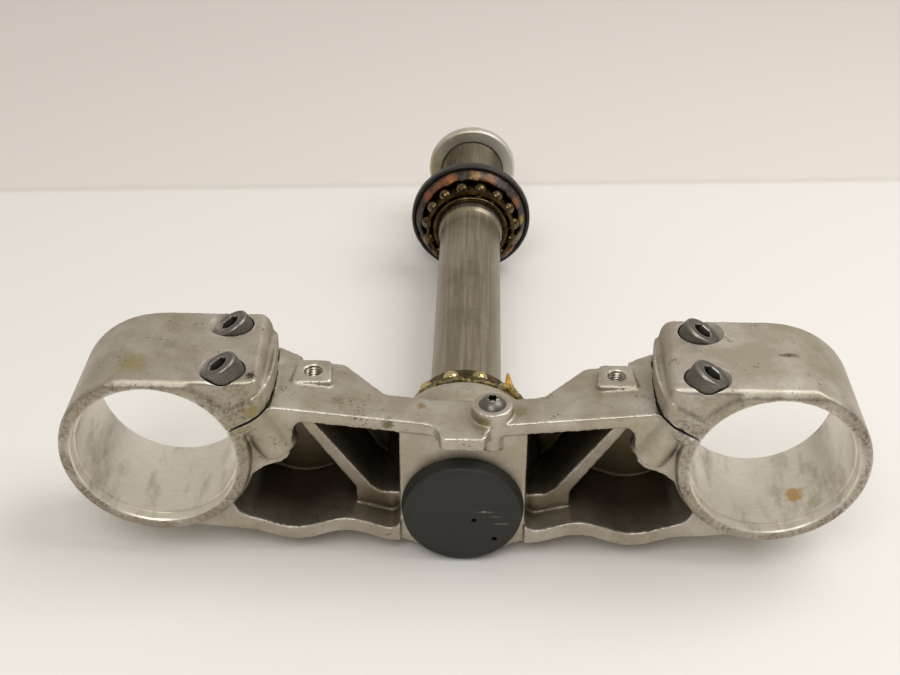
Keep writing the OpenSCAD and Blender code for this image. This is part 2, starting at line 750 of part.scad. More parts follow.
// Dished cover that keeps dirt out of the upper bearing.
module upper_dust_cover() {
    rim_y = cover_y + cover_t;
    color([0.1, 0.1, 0.1]) turned() polygon([
        [journal_r + cover_gap, cover_y], [cover_r - 4, cover_y], [cover_r - 2, cover_y - 1],
        [cover_r - cover_wall, rim_y - cover_rim], [cover_r - 0.4, rim_y - cover_rim],
        [cover_r, rim_y - cover_rim + 0.6], [cover_r, rim_y - 1.4],
 [cover_r - 1.4, rim_y], [journal_r + cover_gap, rim_y]
    ]);
}

// Flanged ring nut with four spanner slots in its collar.
module stem_nut() {
    collar_y = nut_y + nut_flange_t;
    color([0.7, 0.69, 0.66]) difference() {
        turned() polygon([
            [journal_r, nut_y], [nut_flange_r - 0.8, nut_y], [nut_flange_r, nut_y + 0.8],
            [nut_flange_r, collar_y - 0.8], [nut_flange_r - 0.8, collar_y], [nut_collar_r, collar_y],
            [nut_collar_r, collar_y + nut_collar_h], [journal_r, collar_y + nut_collar_h]
        ]);
        for (i = [0:3]) rotate([0, 90 * i + 45, 0])
            translate([-nut_slot_w / 2, collar_y + 0.8, journal_r - 3])
                cube([nut_slot_w, nut_collar_h, nut_collar_r]);
    }
}

lower_yoke();
steering_stem();
hub_plug();
pinch_bolt_left_lower();
pinch_bolt_left_upper();
pinch_bolt_right_lower();
pinch_bolt_right_upper();
guide_screw();
lower_dust_seal();
lower_inner_race();
lower_ball_cage();
lower_balls();
upper_inner_race();
upper_ball_cage();
upper_balls();
upper_dust_cover();
stem_nut();
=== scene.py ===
"""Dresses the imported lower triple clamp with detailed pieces, finishes, light and a camera.

Lengths in the classes are in millimetres, as in the part's source. They become metres where a mesh is made.
"""
import logging
import math
from collections.abc import Callable, Sequence
from dataclasses import dataclass, field
from enum import Enum

import bmesh
import bpy
from mathutils import Matrix, Vector, noise


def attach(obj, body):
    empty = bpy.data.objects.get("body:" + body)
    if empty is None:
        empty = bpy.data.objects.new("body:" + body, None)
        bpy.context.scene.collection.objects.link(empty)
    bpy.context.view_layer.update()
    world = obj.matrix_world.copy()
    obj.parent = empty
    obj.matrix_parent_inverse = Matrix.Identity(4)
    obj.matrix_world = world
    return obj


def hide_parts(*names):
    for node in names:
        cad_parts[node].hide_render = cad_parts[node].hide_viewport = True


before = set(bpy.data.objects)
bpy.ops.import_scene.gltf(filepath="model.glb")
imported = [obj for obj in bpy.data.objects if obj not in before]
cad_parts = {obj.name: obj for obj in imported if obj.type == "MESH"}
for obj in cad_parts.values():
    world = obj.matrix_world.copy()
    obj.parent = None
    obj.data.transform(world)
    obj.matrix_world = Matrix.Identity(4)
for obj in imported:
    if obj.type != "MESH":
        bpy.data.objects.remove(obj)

LOG = logging.getLogger("triple_clamp")
MM = 0.001
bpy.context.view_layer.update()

Tree = bpy.types.NodeTree
Node = bpy.types.Node
Socket = bpy.types.NodeSocket
Mesh = bpy.types.Mesh
Thing = bpy.types.Object
Linear = tuple[float, float, float, float]
Triple = tuple[float, float, float]
Pair = tuple[float, float]
Ring = list[Vector]


def linear(code: str) -> Linear:
    """Turns an sRGB colour into the linear values that the shaders take.

    Args:
        code: The colour as six hex digits.

    Returns:
        Red, green, blue and full alpha, all linear.
    """
    parts = [int(code[i:i + 2], 16) / 255 for i in (0, 2, 4)]
    turned = [v / 12.92 if v <= 0.04045 else ((v + 0.055) / 1.055) ** 2.4 for v in parts]
    return turned[0], turned[1], turned[2], 1.0


def per_mm(size: float) -> float:
    """Returns the pattern scale at which one feature measures size millimetres."""
    return 1000.0 / size


def add_node(tree: Tree, kind: str, inputs: dict[int | str, object] | None = None, **settings: object) -> Node:
    """Adds one node with its settings, values and links.

    Args:
        tree: The node tree of a material or of the world.
        kind: The type name of the node, without the ShaderNode that all of them start with.
        inputs: Sockets to link, or values to set, by the name or number of the input.
        settings: Properties of the node itself.

    Returns:
        The new node.
    """
    node = tree.nodes.new("ShaderNode" + kind)
    for key, value in settings.items():
        setattr(node, key, value)
    for key, value in (inputs or {}).items():
        if isinstance(value, Socket):
            tree.links.new(value, node.inputs[key])
        else:
            node.inputs[key].default_value = value
    return node


@dataclass(frozen=True)
class Mark:
    """A stain, chip or scratch at one place of a surface."""

    centre: Triple
    radius: float
    colour: str
    strength: float
    ragged: float = 1.5
    stretch: Triple = (1.0, 1.0, 1.0)


@dataclass(frozen=True)
class Span:
    """A factor that runs from least to most while a value runs from start to full."""

    value: Socket
    start: float
    full: float
    most: float = 1.0
    least: float = 0.0


@dataclass
class Coat:
    """A material in the making. Its colour is that of the layers so far, and its place is in metres."""

    tree: Tree
    shader: Node
    place: Socket
    colour: Socket | Linear

    def product(self, *spans: Span) -> Socket:
        """Returns the product of the factors."""
        total: Socket | None = None
        for span in spans:
            part = add_node(self.tree, "MapRange", {
                "Value": span.value, "From Min": span.start, "From Max": span.full,
                "To Min": span.least, "To Max": span.most}).outputs[0]
            total = part if total is None else add_node(
                self.tree, "Math", {0: part, 1: total}, operation="MULTIPLY").outputs[0]
        return total

    def lay(self, colour: str, *spans: Span) -> None:
        """Lays a colour over the layers so far, as much as the product of the factors says."""
        self.colour = add_node(self.tree, "Mix", {0: self.product(*spans), 6: self.colour, 7: linear(colour)},
                               data_type="RGBA").outputs[2]

    def stain(self, marks: Sequence[Mark]) -> None:
        """Lays the marks, each at its own place and with a ragged rim."""
        for mark in marks:
            size = mark.radius * MM
            offset = add_node(self.tree, "VectorMath", {0: self.place, 1: tuple(v * MM for v in mark.centre)},
                              operation="SUBTRACT")
            offset = add_node(self.tree, "VectorMath", {0: offset.outputs[0], 1: mark.stretch}, operation="MULTIPLY")
            reach = add_node(self.tree, "VectorMath", {0: offset.outputs[0]}, operation="LENGTH").outputs["Value"]
            ragged = add_node(self.tree, "TexNoise", {
                "Vector": self.place, "Scale": per_mm(mark.ragged), "Detail": 3.0}).outputs["Fac"]
            rim = add_node(self.tree, "Math", {0: ragged, 1: -1.6 * size, 2: reach}, operation="MULTIPLY_ADD")
            self.lay(mark.colour, Span(rim.outputs[0], 0.2 * size, -0.35 * size, mark.strength))

    def close(self, gloss: Socket | None = None, *reliefs: tuple[Socket, float, float]) -> None:
        """Joins colour, roughness and relief to the shader.

        Args:
            gloss: The roughness, where it varies.
            reliefs: The height, strength and depth in millimetres of each relief, the finest first.
        """
        self.tree.links.new(self.colour, self.shader.inputs["Base Color"])
        if gloss:
            self.tree.links.new(gloss, self.shader.inputs["Roughness"])
        below: dict[int | str, object] = {}
        for height, strength, depth in reliefs:
            bump = add_node(self.tree, "Bump", {"Strength": strength, "Distance": depth * MM, "Height": height,
                                                **below})
            below = {"Normal": bump.outputs[0]}
            self.tree.links.new(bump.outputs[0], self.shader.inputs["Normal"])


@dataclass(frozen=True)
class Finish:
    """What all finishes share: a name, a colour and the gloss of the bare surface."""

    name: str
    colour: str
    metallic: float
    roughness: float

    def material(self) -> bpy.types.Material:
        """Returns the material, which is made on the first call."""
        found = bpy.data.materials.get(self.name)
        if found:
            return found
        made = bpy.data.materials.new(self.name)
        made.use_nodes = True
        tree = made.node_tree
        tree.nodes.clear()
        bare = linear(self.colour)
        shader = add_node(tree, "BsdfPrincipled", {
            "Base Color": bare, "Metallic": self.metallic, "Roughness": self.roughness})
        add_node(tree, "OutputMaterial", {"Surface": shader.outputs["BSDF"]})
        self.dress(Coat(tree, shader, add_node(tree, "TexCoord").outputs["Object"], bare))
        return made

    def dress(self, coat: Coat) -> None:
        """Adds colour variation, wear and relief to a coat. Each finish has its own."""
        raise NotImplementedError


@dataclass(frozen=True)
class CastAluminium(Finish):
    """Shot-blasted sand casting: a warm matt grey with a fine grain, dirt and painted shade in the creases, painted
    shade deep in the pockets and bright worn edges.
    """

    pale: str = "C2BBB0"
    dark: str = "7C7365"
    olive: str = "9A946F"
    grime_and_crease_shade: str = "2B241A"
    worn: str = "E2DED6"
    painted_pocket_shade: str = "15110C"
    grain: float = 0.45
    cloud: float = 16.0
    speck: float = 1.1
    fleck: float = 0.9
    swarm: float = 7.0
    crease: float = 4.0
    depth: float = 26.0
    clamp_from_x: float = 66.0
    pit: str = "564B3D"
    pocket_dirt_and_shade_tone: str = "5C523E"
    pocket_dirt_and_shade_amount: float = 0.85
    marks: tuple[Mark, ...] = ()

    def dress(self, coat: Coat) -> None:
        """See Finish.dress."""
        tree, place = coat.tree, coat.place
        cloud = add_node(tree, "TexNoise", {
            "Vector": place, "Scale": per_mm(self.cloud), "Detail": 5.0, "Roughness": 0.62}).outputs["Fac"]
        coat.lay(self.pale, Span(cloud, 0.42, 0.66))
        patch = add_node(tree, "TexNoise", {
            "Vector": place, "Scale": per_mm(self.cloud * 1.7), "Detail": 3.0, "W": 3.0},
            noise_dimensions="4D").outputs["Fac"]
        coat.lay(self.olive, Span(patch, 0.5, 0.75, 0.4))
        speckle = add_node(tree, "TexNoise", {
            "Vector": place, "Scale": per_mm(self.speck), "Detail": 3.0, "Roughness": 0.7}).outputs["Fac"]
        coat.lay(self.dark, Span(speckle, 0.6, 0.74, 0.5))
        self.pitted(coat)
        flecks, swarm = (add_node(tree, "TexNoise", {
            "Vector": place, "Scale": per_mm(size), "Detail": 2.0, "W": seed}, noise_dimensions="4D").outputs["Fac"]
            for size, seed in ((self.fleck, 7.0), (self.swarm, 5.0)))
        dotted = add_node(tree, "Math", {0: swarm, 1: 0.8, 2: flecks}, operation="MULTIPLY_ADD").outputs[0]
        coat.lay(self.grime_and_crease_shade, Span(dotted, 1.1, 1.2, 0.65))
        # Painted shade: deep hollows and the pockets are darkened nearly to black with their occlusion over a wide
        # reach.
        deep_shade = add_node(tree, "AmbientOcclusion", {"Distance": self.depth * MM}, samples=8, only_local=True)
        coat.lay(self.painted_pocket_shade, Span(deep_shade.outputs["AO"], 0.36, 0.1, 0.8))
        self.pocket_dirt_and_shade(coat)
        # Dirt and painted shade: the creases are darkened with their occlusion, broken up by the speckle.
        crease_shade = add_node(tree, "AmbientOcclusion", {"Distance": self.crease * MM}, samples=6, only_local=True)
        dirt = add_node(tree, "Math", {0: speckle, 1: 0.35, 2: crease_shade.outputs["AO"]}, operation="MULTIPLY_ADD")
        coat.lay(self.grime_and_crease_shade, Span(dirt.outputs[0], 1.02, 0.5, 0.8))
        shape = add_node(tree, "NewGeometry").outputs["Pointiness"]
        rub = add_node(tree, "Math", {0: cloud, 1: 0.05, 2: shape}, operation="MULTIPLY_ADD").outputs[0]
        coat.lay(self.worn, Span(rub, 0.54, 0.6, 0.8))
        coat.stain(self.marks)
        bare = coat.product(Span(rub, 0.54, 0.6, self.roughness - 0.16, self.roughness))
        gloss = add_node(tree, "Math", {0: cloud, 1: 0.12, 2: bare}, operation="MULTIPLY_ADD").outputs[0]
        grain = add_node(tree, "TexNoise", {"Vector": place, "Scale": per_mm(self.grain), "Detail": 3.0})
        coat.close(gloss, (grain.outputs["Fac"], 0.45, 0.06), (speckle, 0.35, 0.12))

    def pocket_dirt_and_shade(self, coat: Coat) -> None:
        """Darkens the pockets of the bridge with their depth: packed road dirt together with painted shade, where
        little light reaches.
        """
        tree = coat.tree
        parts = add_node(tree, "SeparateXYZ", {0: coat.place}).outputs
        away = add_node(tree, "Math", {0: parts["X"]}, operation="ABSOLUTE").outputs[0]
        # The sloping far side of the bridge lies in the same box and stays bare, so faces that look up the stem are
        # left out.
        normal = add_node(tree, "SeparateXYZ", {0: add_node(tree, "NewGeometry").outputs["Normal"]})
        box = ((away, 21.8, 23.6), (away, 76.0, 73.5), (parts["Z"], -12.2, -11.0), (parts["Z"], 37.2, 35.8),
               (parts["Y"], 3.0, 20.0), (parts["Y"], 40.6, 40.1))
        # Painted shade in the colour of packed dirt, laid over the inner faces of the pockets.
        coat.lay(self.pocket_dirt_and_shade_tone, Span(normal.outputs["Y"], 0.35, 0.15, self.pocket_dirt_and_shade_amount),
                 *(Span(value, low * MM, high * MM) for value, low, high in box))

    def pitted(self, coat: Coat) -> None:
        """Darkens the lower faces of the clamps, which stood in the wet and are pitted in patches."""
        tree, place = coat.tree, coat.place
        parts = add_node(tree, "SeparateXYZ", {0: place}).outputs
        away = add_node(tree, "Math", {0: parts["X"]}, operation="ABSOLUTE").outputs[0]
        holes = add_node(tree, "TexNoise", {
            "Vector": place, "Scale": per_mm(1.5), "Detail": 4.0, "Roughness": 0.75}).outputs["Fac"]
        wet = add_node(tree, "TexNoise", {"Vector": place, "Scale": per_mm(11.0), "Detail": 3.0}).outputs["Fac"]
        coat.lay(self.pit, Span(away, self.clamp_from_x * MM, (self.clamp_from_x + 6) * MM),
                 Span(parts["Y"], 2.0 * MM, 0.5 * MM), Span(holes, 0.44, 0.66, 0.95, 0.15),
                 Span(wet, 0.4, 0.6, 1.0, 0.45))


@dataclass(frozen=True)
class BoredAluminium(Finish):
    """Bored aluminium: paler than the casting, with fine turning rings and smudges where the fork tube sat."""

    pale: str = "F0EBE0"
    smudge: str = "756A59"
    ring: float = 0.7
    patch: float = 7.0
    along: Triple = (0.15, 1.0, 0.15)
    rubbed: Triple = (1.0, 0.3, 1.0)
    marks: tuple[Mark, ...] = ()

    def dress(self, coat: Coat) -> None:
        """See Finish.dress."""
        tree = coat.tree
        squeezed = add_node(tree, "VectorMath", {0: coat.place, 1: self.along}, operation="MULTIPLY").outputs[0]
        rings = add_node(tree, "TexNoise", {
            "Vector": squeezed, "Scale": per_mm(self.ring), "Detail": 3.0, "Roughness": 0.7}).outputs["Fac"]
        coat.lay(self.pale, Span(rings, 0.0, 1.0))
        drawn = add_node(tree, "VectorMath", {0: coat.place, 1: self.rubbed}, operation="MULTIPLY").outputs[0]
        patch = add_node(tree, "TexNoise", {
            "Vector": drawn, "Scale": per_mm(self.patch), "Detail": 5.0, "Roughness": 0.66}).outputs["Fac"]
        coat.lay(self.smudge, Span(patch, 0.52, 0.74, 0.5))
        coat.stain(self.marks)
        coat.close(coat.product(Span(patch, 0.3, 0.7, self.roughness + 0.14, self.roughness - 0.08)),
                   (rings, 0.35, 0.04))


@dataclass(frozen=True)
class DrawnSteel(Finish):
    """Drawn and ground tube steel: a brown grey with long pale and dark streaks along the tube under an oil film."""

    pale: str = "AFA592"
    dark: str = "574F42"
    oil: str = "332D22"
    oily_y: float = 217.0
    streak: float = 1.6
    patch: float = 22.0
    along: Triple = (1.0, 0.035, 1.0)

    def dress(self, coat: Coat) -> None:
        """See Finish.dress."""
        tree, place = coat.tree, coat.place
        drawn = add_node(tree, "VectorMath", {0: place, 1: self.along}, operation="MULTIPLY").outputs[0]
        streaks = add_node(tree, "TexNoise", {
            "Vector": drawn, "Scale": per_mm(self.streak), "Detail": 5.0, "Roughness": 0.65}).outputs["Fac"]
        coat.lay(self.pale, Span(streaks, 0.45, 0.8))
        patch = add_node(tree, "TexNoise", {
            "Vector": place, "Scale": per_mm(self.patch), "Detail": 5.0, "Roughness": 0.65}).outputs["Fac"]
        coat.lay(self.dark, Span(patch, 0.48, 0.75, 0.55))
        height = add_node(tree, "SeparateXYZ", {0: place}).outputs["Y"]
        coat.lay(self.oil, Span(height, (self.oily_y - 1) * MM, (self.oily_y + 1) * MM, 0.5))
        coat.close(coat.product(Span(streaks, 0.3, 0.7, self.roughness + 0.1, self.roughness - 0.06)),
                   (streaks, 0.3, 0.03))


@dataclass(frozen=True)
class BearingSteel(Finish):
    """Ground and polished bearing steel under a thin film of old grease: sharp glints with brownish clouds."""

    film: str = "6E6240"
    patch: float = 2.6
    cover: float = 0.6

    def dress(self, coat: Coat) -> None:
        """See Finish.dress."""
        patch = add_node(coat.tree, "TexNoise", {
            "Vector": coat.place, "Scale": per_mm(self.patch), "Detail": 4.0, "Roughness": 0.6}).outputs["Fac"]
        coat.lay(self.film, Span(patch, 0.42, 0.68, self.cover))
        dulled = self.roughness + 0.3 * self.cover
        coat.close(coat.product(Span(patch, 0.42, 0.68, dulled, self.roughness)), (patch, 0.25, 0.06))


@dataclass(frozen=True)
class ZincSteel(Finish):
    """Zinc plated screw steel gone dull: dark grey flanks, with the plating rubbed bright on the rims and painted shade
    in the sockets.
    """

    worn: str = "C9C4BA"
    dirt: str = "2B2721"
    speck: float = 0.7
    recess: float = 3.5

    def dress(self, coat: Coat) -> None:
        """See Finish.dress."""
        tree = coat.tree
        speckle = add_node(tree, "TexNoise", {
            "Vector": coat.place, "Scale": per_mm(self.speck), "Detail": 4.0, "Roughness": 0.7}).outputs["Fac"]
        coat.lay(self.dirt, Span(speckle, 0.5, 0.72, 0.6))
        coat.lay(self.worn, Span(add_node(tree, "NewGeometry").outputs["Pointiness"], 0.52, 0.58, 0.9))
        # Painted shade: the hex sockets and other recesses are darkened with their occlusion, in the dirt colour.
        socket = add_node(tree, "AmbientOcclusion", {"Distance": self.recess * MM}, samples=6, only_local=True)
        coat.lay(self.dirt, Span(socket.outputs["AO"], 0.7, 0.4, 0.85))
        coat.close(coat.product(Span(speckle, 0.3, 0.7, self.roughness + 0.15, self.roughness - 0.1)),
                   (speckle, 0.3, 0.04))


@dataclass(frozen=True)
class MouldedRubber(Finish):
    """Moulded black rubber: a matt charcoal with a dusty bloom, pale scuffs and brown dirt."""

    bloom: str = "4A4742"
    dirt: str = "5B4630"
    soiling: float = 0.25
    patch: float = 8.0
    spot: float = 2.2
    grain: float = 0.5
    marks: tuple[Mark, ...] = ()

    def dress(self, coat: Coat) -> None:
        """See Finish.dress."""
        tree, place = coat.tree, coat.place
        patch = add_node(tree, "TexNoise", {
            "Vector": place, "Scale": per_mm(self.patch), "Detail": 6.0, "Roughness": 0.65}).outputs["Fac"]
        coat.lay(self.bloom, Span(patch, 0.42, 0.72, 0.5))
        spots = add_node(tree, "TexNoise", {
            "Vector": place, "Scale": per_mm(self.spot), "Detail": 5.0, "Roughness": 0.7}).outputs["Fac"]
        coat.lay(self.dirt, Span(spots, 0.56, 0.72, self.soiling))
        coat.stain(self.marks)
        grain = add_node(tree, "TexNoise", {"Vector": place, "Scale": per_mm(self.grain), "Detail": 3.0}).outputs["Fac"]
        coat.close(coat.product(Span(patch, 0.3, 0.7, self.roughness + 0.1, self.roughness - 0.06)),
                   (grain, 0.25, 0.05))


@dataclass(frozen=True)
class OldGrease(Finish):
    """Aged lithium grease mixed with rust: wet amber lumps that shine through where they are thin."""

    thin: str = "C58A2E"
    thick: str = "3A1D08"
    lump: float = 2.4
    shine_through: Triple = (0.0012, 0.0006, 0.0002)
    marks: tuple[Mark, ...] = ()

    def dress(self, coat: Coat) -> None:
        """See Finish.dress."""
        lumps = add_node(coat.tree, "TexNoise", {
            "Vector": coat.place, "Scale": per_mm(self.lump), "Detail": 5.0, "Roughness": 0.66}).outputs["Fac"]
        coat.lay(self.thin, Span(lumps, 0.52, 0.68))
        coat.lay(self.thick, Span(lumps, 0.46, 0.34, 0.9))
        coat.stain(self.marks)
        for key, value in (("Weight", 0.15), ("Radius", self.shine_through), ("Scale", 1.0)):
            coat.shader.inputs["Subsurface " + key].default_value = value
        coat.close(None, (lumps, 0.5, 0.3))


@dataclass(frozen=True)
class CageSteel(Finish):
    """Pressed sheet steel of a ball cage, seen through old grease."""

    film: str = "6B4B1C"
    patch: float = 3.0

    def dress(self, coat: Coat) -> None:
        """See Finish.dress."""
        patch = add_node(coat.tree, "TexNoise", {
            "Vector": coat.place, "Scale": per_mm(self.patch), "Detail": 5.0, "Roughness": 0.6}).outputs["Fac"]
        coat.lay(self.film, Span(patch, 0.4, 0.6))
        coat.close(None, (patch, 0.4, 0.1))


@dataclass(frozen=True)
class TurnedAluminium(Finish):
    """Turned and clear anodised aluminium: a satin pale grey with turning rings and a painted yellowish reflection on
    its left side.
    """

    pale: str = "D2CEC6"
    painted_reflection: str = "A89A68"
    ring: float = 0.5
    patch: float = 14.0

    def dress(self, coat: Coat) -> None:
        """See Finish.dress."""
        tree = coat.tree
        parts = add_node(tree, "SeparateXYZ", {0: coat.place}).outputs
        flat = add_node(tree, "CombineXYZ", {"X": parts["X"], "Y": parts["Z"]}).outputs[0]
        radius = add_node(tree, "VectorMath", {0: flat}, operation="LENGTH").outputs["Value"]
        turn = add_node(tree, "CombineXYZ", {"X": radius, "Y": parts["Y"]}).outputs[0]
        rings = add_node(tree, "TexNoise", {"Vector": turn, "Scale": per_mm(self.ring), "Detail": 3.0}).outputs["Fac"]
        coat.lay(self.pale, Span(rings, 0.0, 1.0))
        side = add_node(tree, "TexNoise", {"Vector": coat.place, "Scale": per_mm(self.patch),
                                           "Detail": 3.0}).outputs["Fac"]
        # Painted reflection: a yellowish tint laid on the left side of the nut, towards negative X.
        reflection_side = add_node(tree, "Math", {0: parts["X"], 1: -12.0, 2: side}, operation="MULTIPLY_ADD").outputs[0]
        coat.lay(self.painted_reflection, Span(reflection_side, 0.52, 0.78, 0.7))
        coat.close(None, (rings, 0.25, 0.03))


@dataclass(frozen=True)
class TableTop(Finish):
    """Painted board: a warm white without texture of its own, a little darker behind the seam, with a line of painted
    shade along the seam.
    """

    behind: str = "E3DCD6"
    seam: str = "CDC6BC"
    seam_y: float = 306.5
    seam_slope: float = 0.0615

    def dress(self, coat: Coat) -> None:
        """See Finish.dress."""
        tree = coat.tree
        parts = add_node(tree, "SeparateXYZ", {0: coat.place}).outputs
        depth = add_node(tree, "Math", {0: parts["X"], 1: -self.seam_slope, 2: parts["Y"]},
                         operation="MULTIPLY_ADD").outputs[0]
        coat.lay(self.behind, Span(depth, (self.seam_y - 3) * MM, (self.seam_y + 3) * MM))
        # Painted shade: a darker line along the seam, where the backdrop meets the table.
        gap = add_node(tree, "Math", {0: depth, 1: self.seam_y * MM}, operation="SUBTRACT").outputs[0]
        gap = add_node(tree, "Math", {0: gap}, operation="ABSOLUTE").outputs[0]
        coat.lay(self.seam, Span(gap, 5 * MM, 0.0, 0.5))
        coat.close()


def soften(points: Sequence[Pair], radius: float, steps: int = 3) -> list[Pair]:
    """Rounds the corners of a closed outline.

    Args:
        points: The corners as radius and height.
        radius: How far each rounding reaches along its sides, at most half a side.
        steps: The number of segments of each rounding.

    Returns:
        The outline with rounded corners. Corners on the axis stay as they are.
    """
    out: list[Pair] = []
    count = len(points)
    for i, corner in enumerate(points):
        here = Vector(corner)
        back, ahead = Vector(points[i - 1]) - here, Vector(points[(i + 1) % count]) - here
        if corner[0] < 1e-6:
            out.append(corner)
            continue
        start = here + back.normalized() * min(radius, back.length * 0.45)
        end = here + ahead.normalized() * min(radius, ahead.length * 0.45)
        for k in range(steps + 1):
            t = k / steps
            p = start * (1 - t) ** 2 + here * 2 * t * (1 - t) + end * t * t
            out.append((p.x, p.y))
    return out


def rough(point: Vector, size: float, seed: float = 0.0) -> float:
    """Returns smooth noise from -1 to 1 at a point in millimetres, with features of the given size."""
    return noise.noise(point / size + Vector((seed, seed * 0.7, -seed)))


@dataclass
class Draft:
    """Closed shells of one piece, in millimetres, that become one mesh."""

    name: str
    verts: Ring = field(default_factory=list)
    faces: list[tuple[int, ...]] = field(default_factory=list)
    slots: list[int] = field(default_factory=list)

    def loft(self, rings: Sequence[Ring], slot: int = 0, loop: bool = False) -> None:
        """Skins a row of rings.

        Args:
            rings: Rings with equal numbers of points.
            slot: The number of the finish.
            loop: Joins the last ring to the first. Otherwise both ends are closed.
        """
        base, n = len(self.verts), len(rings[0])
        for ring in rings:
            self.verts.extend(ring)
        pairs = [(k, k + 1) for k in range(len(rings) - 1)] + ([(len(rings) - 1, 0)] if loop else [])
        for low, high in pairs:
            a, b = base + low * n, base + high * n
            self.faces.extend((a + i, a + (i + 1) % n, b + (i + 1) % n, b + i) for i in range(n))
        if not loop:
            last = base + (len(rings) - 1) * n
            self.faces.append(tuple(range(base + n - 1, base - 1, -1)))
            self.faces.append(tuple(range(last, last + n)))
        self.slots.extend([slot] * (len(self.faces) - len(self.slots)))

    def turn(self, outline: Sequence[Pair], segments: int = 128, slot: int = 0,
             frame_of: Matrix | None = None, shape: Callable[[float, float, float], Pair] | None = None) -> None:
        """Turns an outline about the Y axis.

        Args:
            outline: The outline as radius and height. It is closed unless both its ends lie on the axis.
            segments: The number of steps round the axis.
            slot: The number of the finish.
            frame_of: Where the turned shape goes.
            shape: Changes radius and height at an angle, for knurls, lobes and threads.
        """
        place = frame_of or Matrix()
        on_axis = outline[0][0] < 1e-6 and outline[-1][0] < 1e-6
        used = list(outline[1:-1] if on_axis else outline)
        rings: list[Ring] = []
        for r, y in used:
            ring: Ring = []
            for i in range(segments):
                angle = 2 * math.pi * i / segments
                rr, yy = shape(angle, r, y) if shape else (r, y)
                ring.append(place @ Vector((rr * math.cos(angle), yy, rr * math.sin(angle))))
            rings.append(ring)
        self.loft(rings, slot, loop=not on_axis)

    def ball(self, centre: Vector, radius: float, segments: int = 28, rows: int = 14, slot: int = 0) -> None:
        """Adds a sphere.

        Args:
            centre: Its centre.
            radius: Its radius.
            segments: Steps round it.
            rows: Steps from pole to pole.
            slot: The number of the finish.
        """
        rings = []
        for k in range(1, rows):
            tilt = math.pi * k / rows
            rings.append([centre + radius * Vector((
                math.sin(tilt) * math.cos(2 * math.pi * i / segments), math.cos(tilt),
                math.sin(tilt) * math.sin(2 * math.pi * i / segments))) for i in range(segments)])
        self.loft(rings, slot)

    def box(self, low: Triple, high: Triple, frame_of: Matrix | None = None) -> None:
        """Adds a box between two corners, which frame_of then moves into place."""
        place = frame_of or Matrix()
        rings = [[place @ Vector((x, y, z)) for x, y in (
            (low[0], low[1]), (high[0], low[1]), (high[0], high[1]), (low[0], high[1]))] for z in (low[2], high[2])]
        self.loft(rings)

    def mesh(self) -> Mesh:
        """Returns the mesh in metres, with its faces turned outwards."""
        made = bpy.data.meshes.new(self.name)
        made.from_pydata([tuple(v * MM) for v in self.verts], [], self.faces)
        made.polygons.foreach_set("material_index", self.slots)
        work = bmesh.new()
        work.from_mesh(made)
        bmesh.ops.recalc_face_normals(work, faces=work.faces)
        work.to_mesh(made)
        work.free()
        return made


def settle(name: str, mesh: Mesh, finishes: Sequence[Finish], slot: str, *nodes: str,
           crease: float = 38.0) -> Thing:
    """Makes a piece of the part from a mesh.

    Args:
        name: The name of the piece.
        mesh: Its mesh, in metres.
        finishes: Its finishes, in the order of the material numbers of the faces.
        slot: The material slot of the record that it belongs to. Not used.
        nodes: The CAD nodes that it stands for.
        crease: The angle in degrees from which an edge stays sharp.

    Returns:
        The new object.
    """
    # Clearing the materials also sets the numbers of the faces to zero, so these are put back.
    numbers = [face.material_index for face in mesh.polygons]
    mesh.materials.clear()
    for finish in finishes:
        mesh.materials.append(finish.material())
    mesh.polygons.foreach_set("material_index", numbers)
    mesh.shade_smooth()
    mesh.set_sharp_from_angle(angle=math.radians(crease))
    piece = add_object(name, mesh)
    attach(piece, "root")
    if nodes:
        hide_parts(*nodes)
    LOG.info("%s: %d faces, stands for %s", name, len(mesh.polygons), ", ".join(nodes) or "nothing else")
    return piece


def add_object(name: str, data: bpy.types.ID) -> Thing:
    """Adds an object with the given data to the scene."""
    made = bpy.data.objects.new(name, data)
    bpy.context.scene.collection.objects.link(made)
    return made


def to_front(x: float, y: float, z: float = 0.0) -> Matrix:
    """Returns a frame at a point whose Y axis points to the front of the part."""
    return Matrix.Translation((x, y, z)) @ Matrix.Rotation(math.pi / 2, 4, "X")


def flank(angle: float, y: float, pitch: float) -> float:
    """Returns how far a point of a thread lies from the middle of its flank, from 0 to 1."""
    return abs(2 * ((y / pitch - angle / (2 * math.pi)) % 1.0) - 1)


def carve(mesh: Mesh, cutters: Sequence[Draft]) -> Mesh:
    """Takes closed cutters from a closed mesh.

    Args:
        mesh: The mesh to cut.
        cutters: One draft for each step. The shells within a draft don't overlap.

    Returns:
        The mesh that is left.
    """
    work = add_object("work", mesh)
    tools = []
    for cutter in cutters:
        tool = add_object(cutter.name, cutter.mesh())
        step = work.modifiers.new(cutter.name, "BOOLEAN")
        step.operation, step.solver, step.object = "DIFFERENCE", "MANIFOLD", tool
        tools.append(tool)
    left = bpy.data.meshes.new_from_object(work.evaluated_get(bpy.context.evaluated_depsgraph_get()))
    for used in (work, *tools):
        bpy.data.objects.remove(used)
    return left


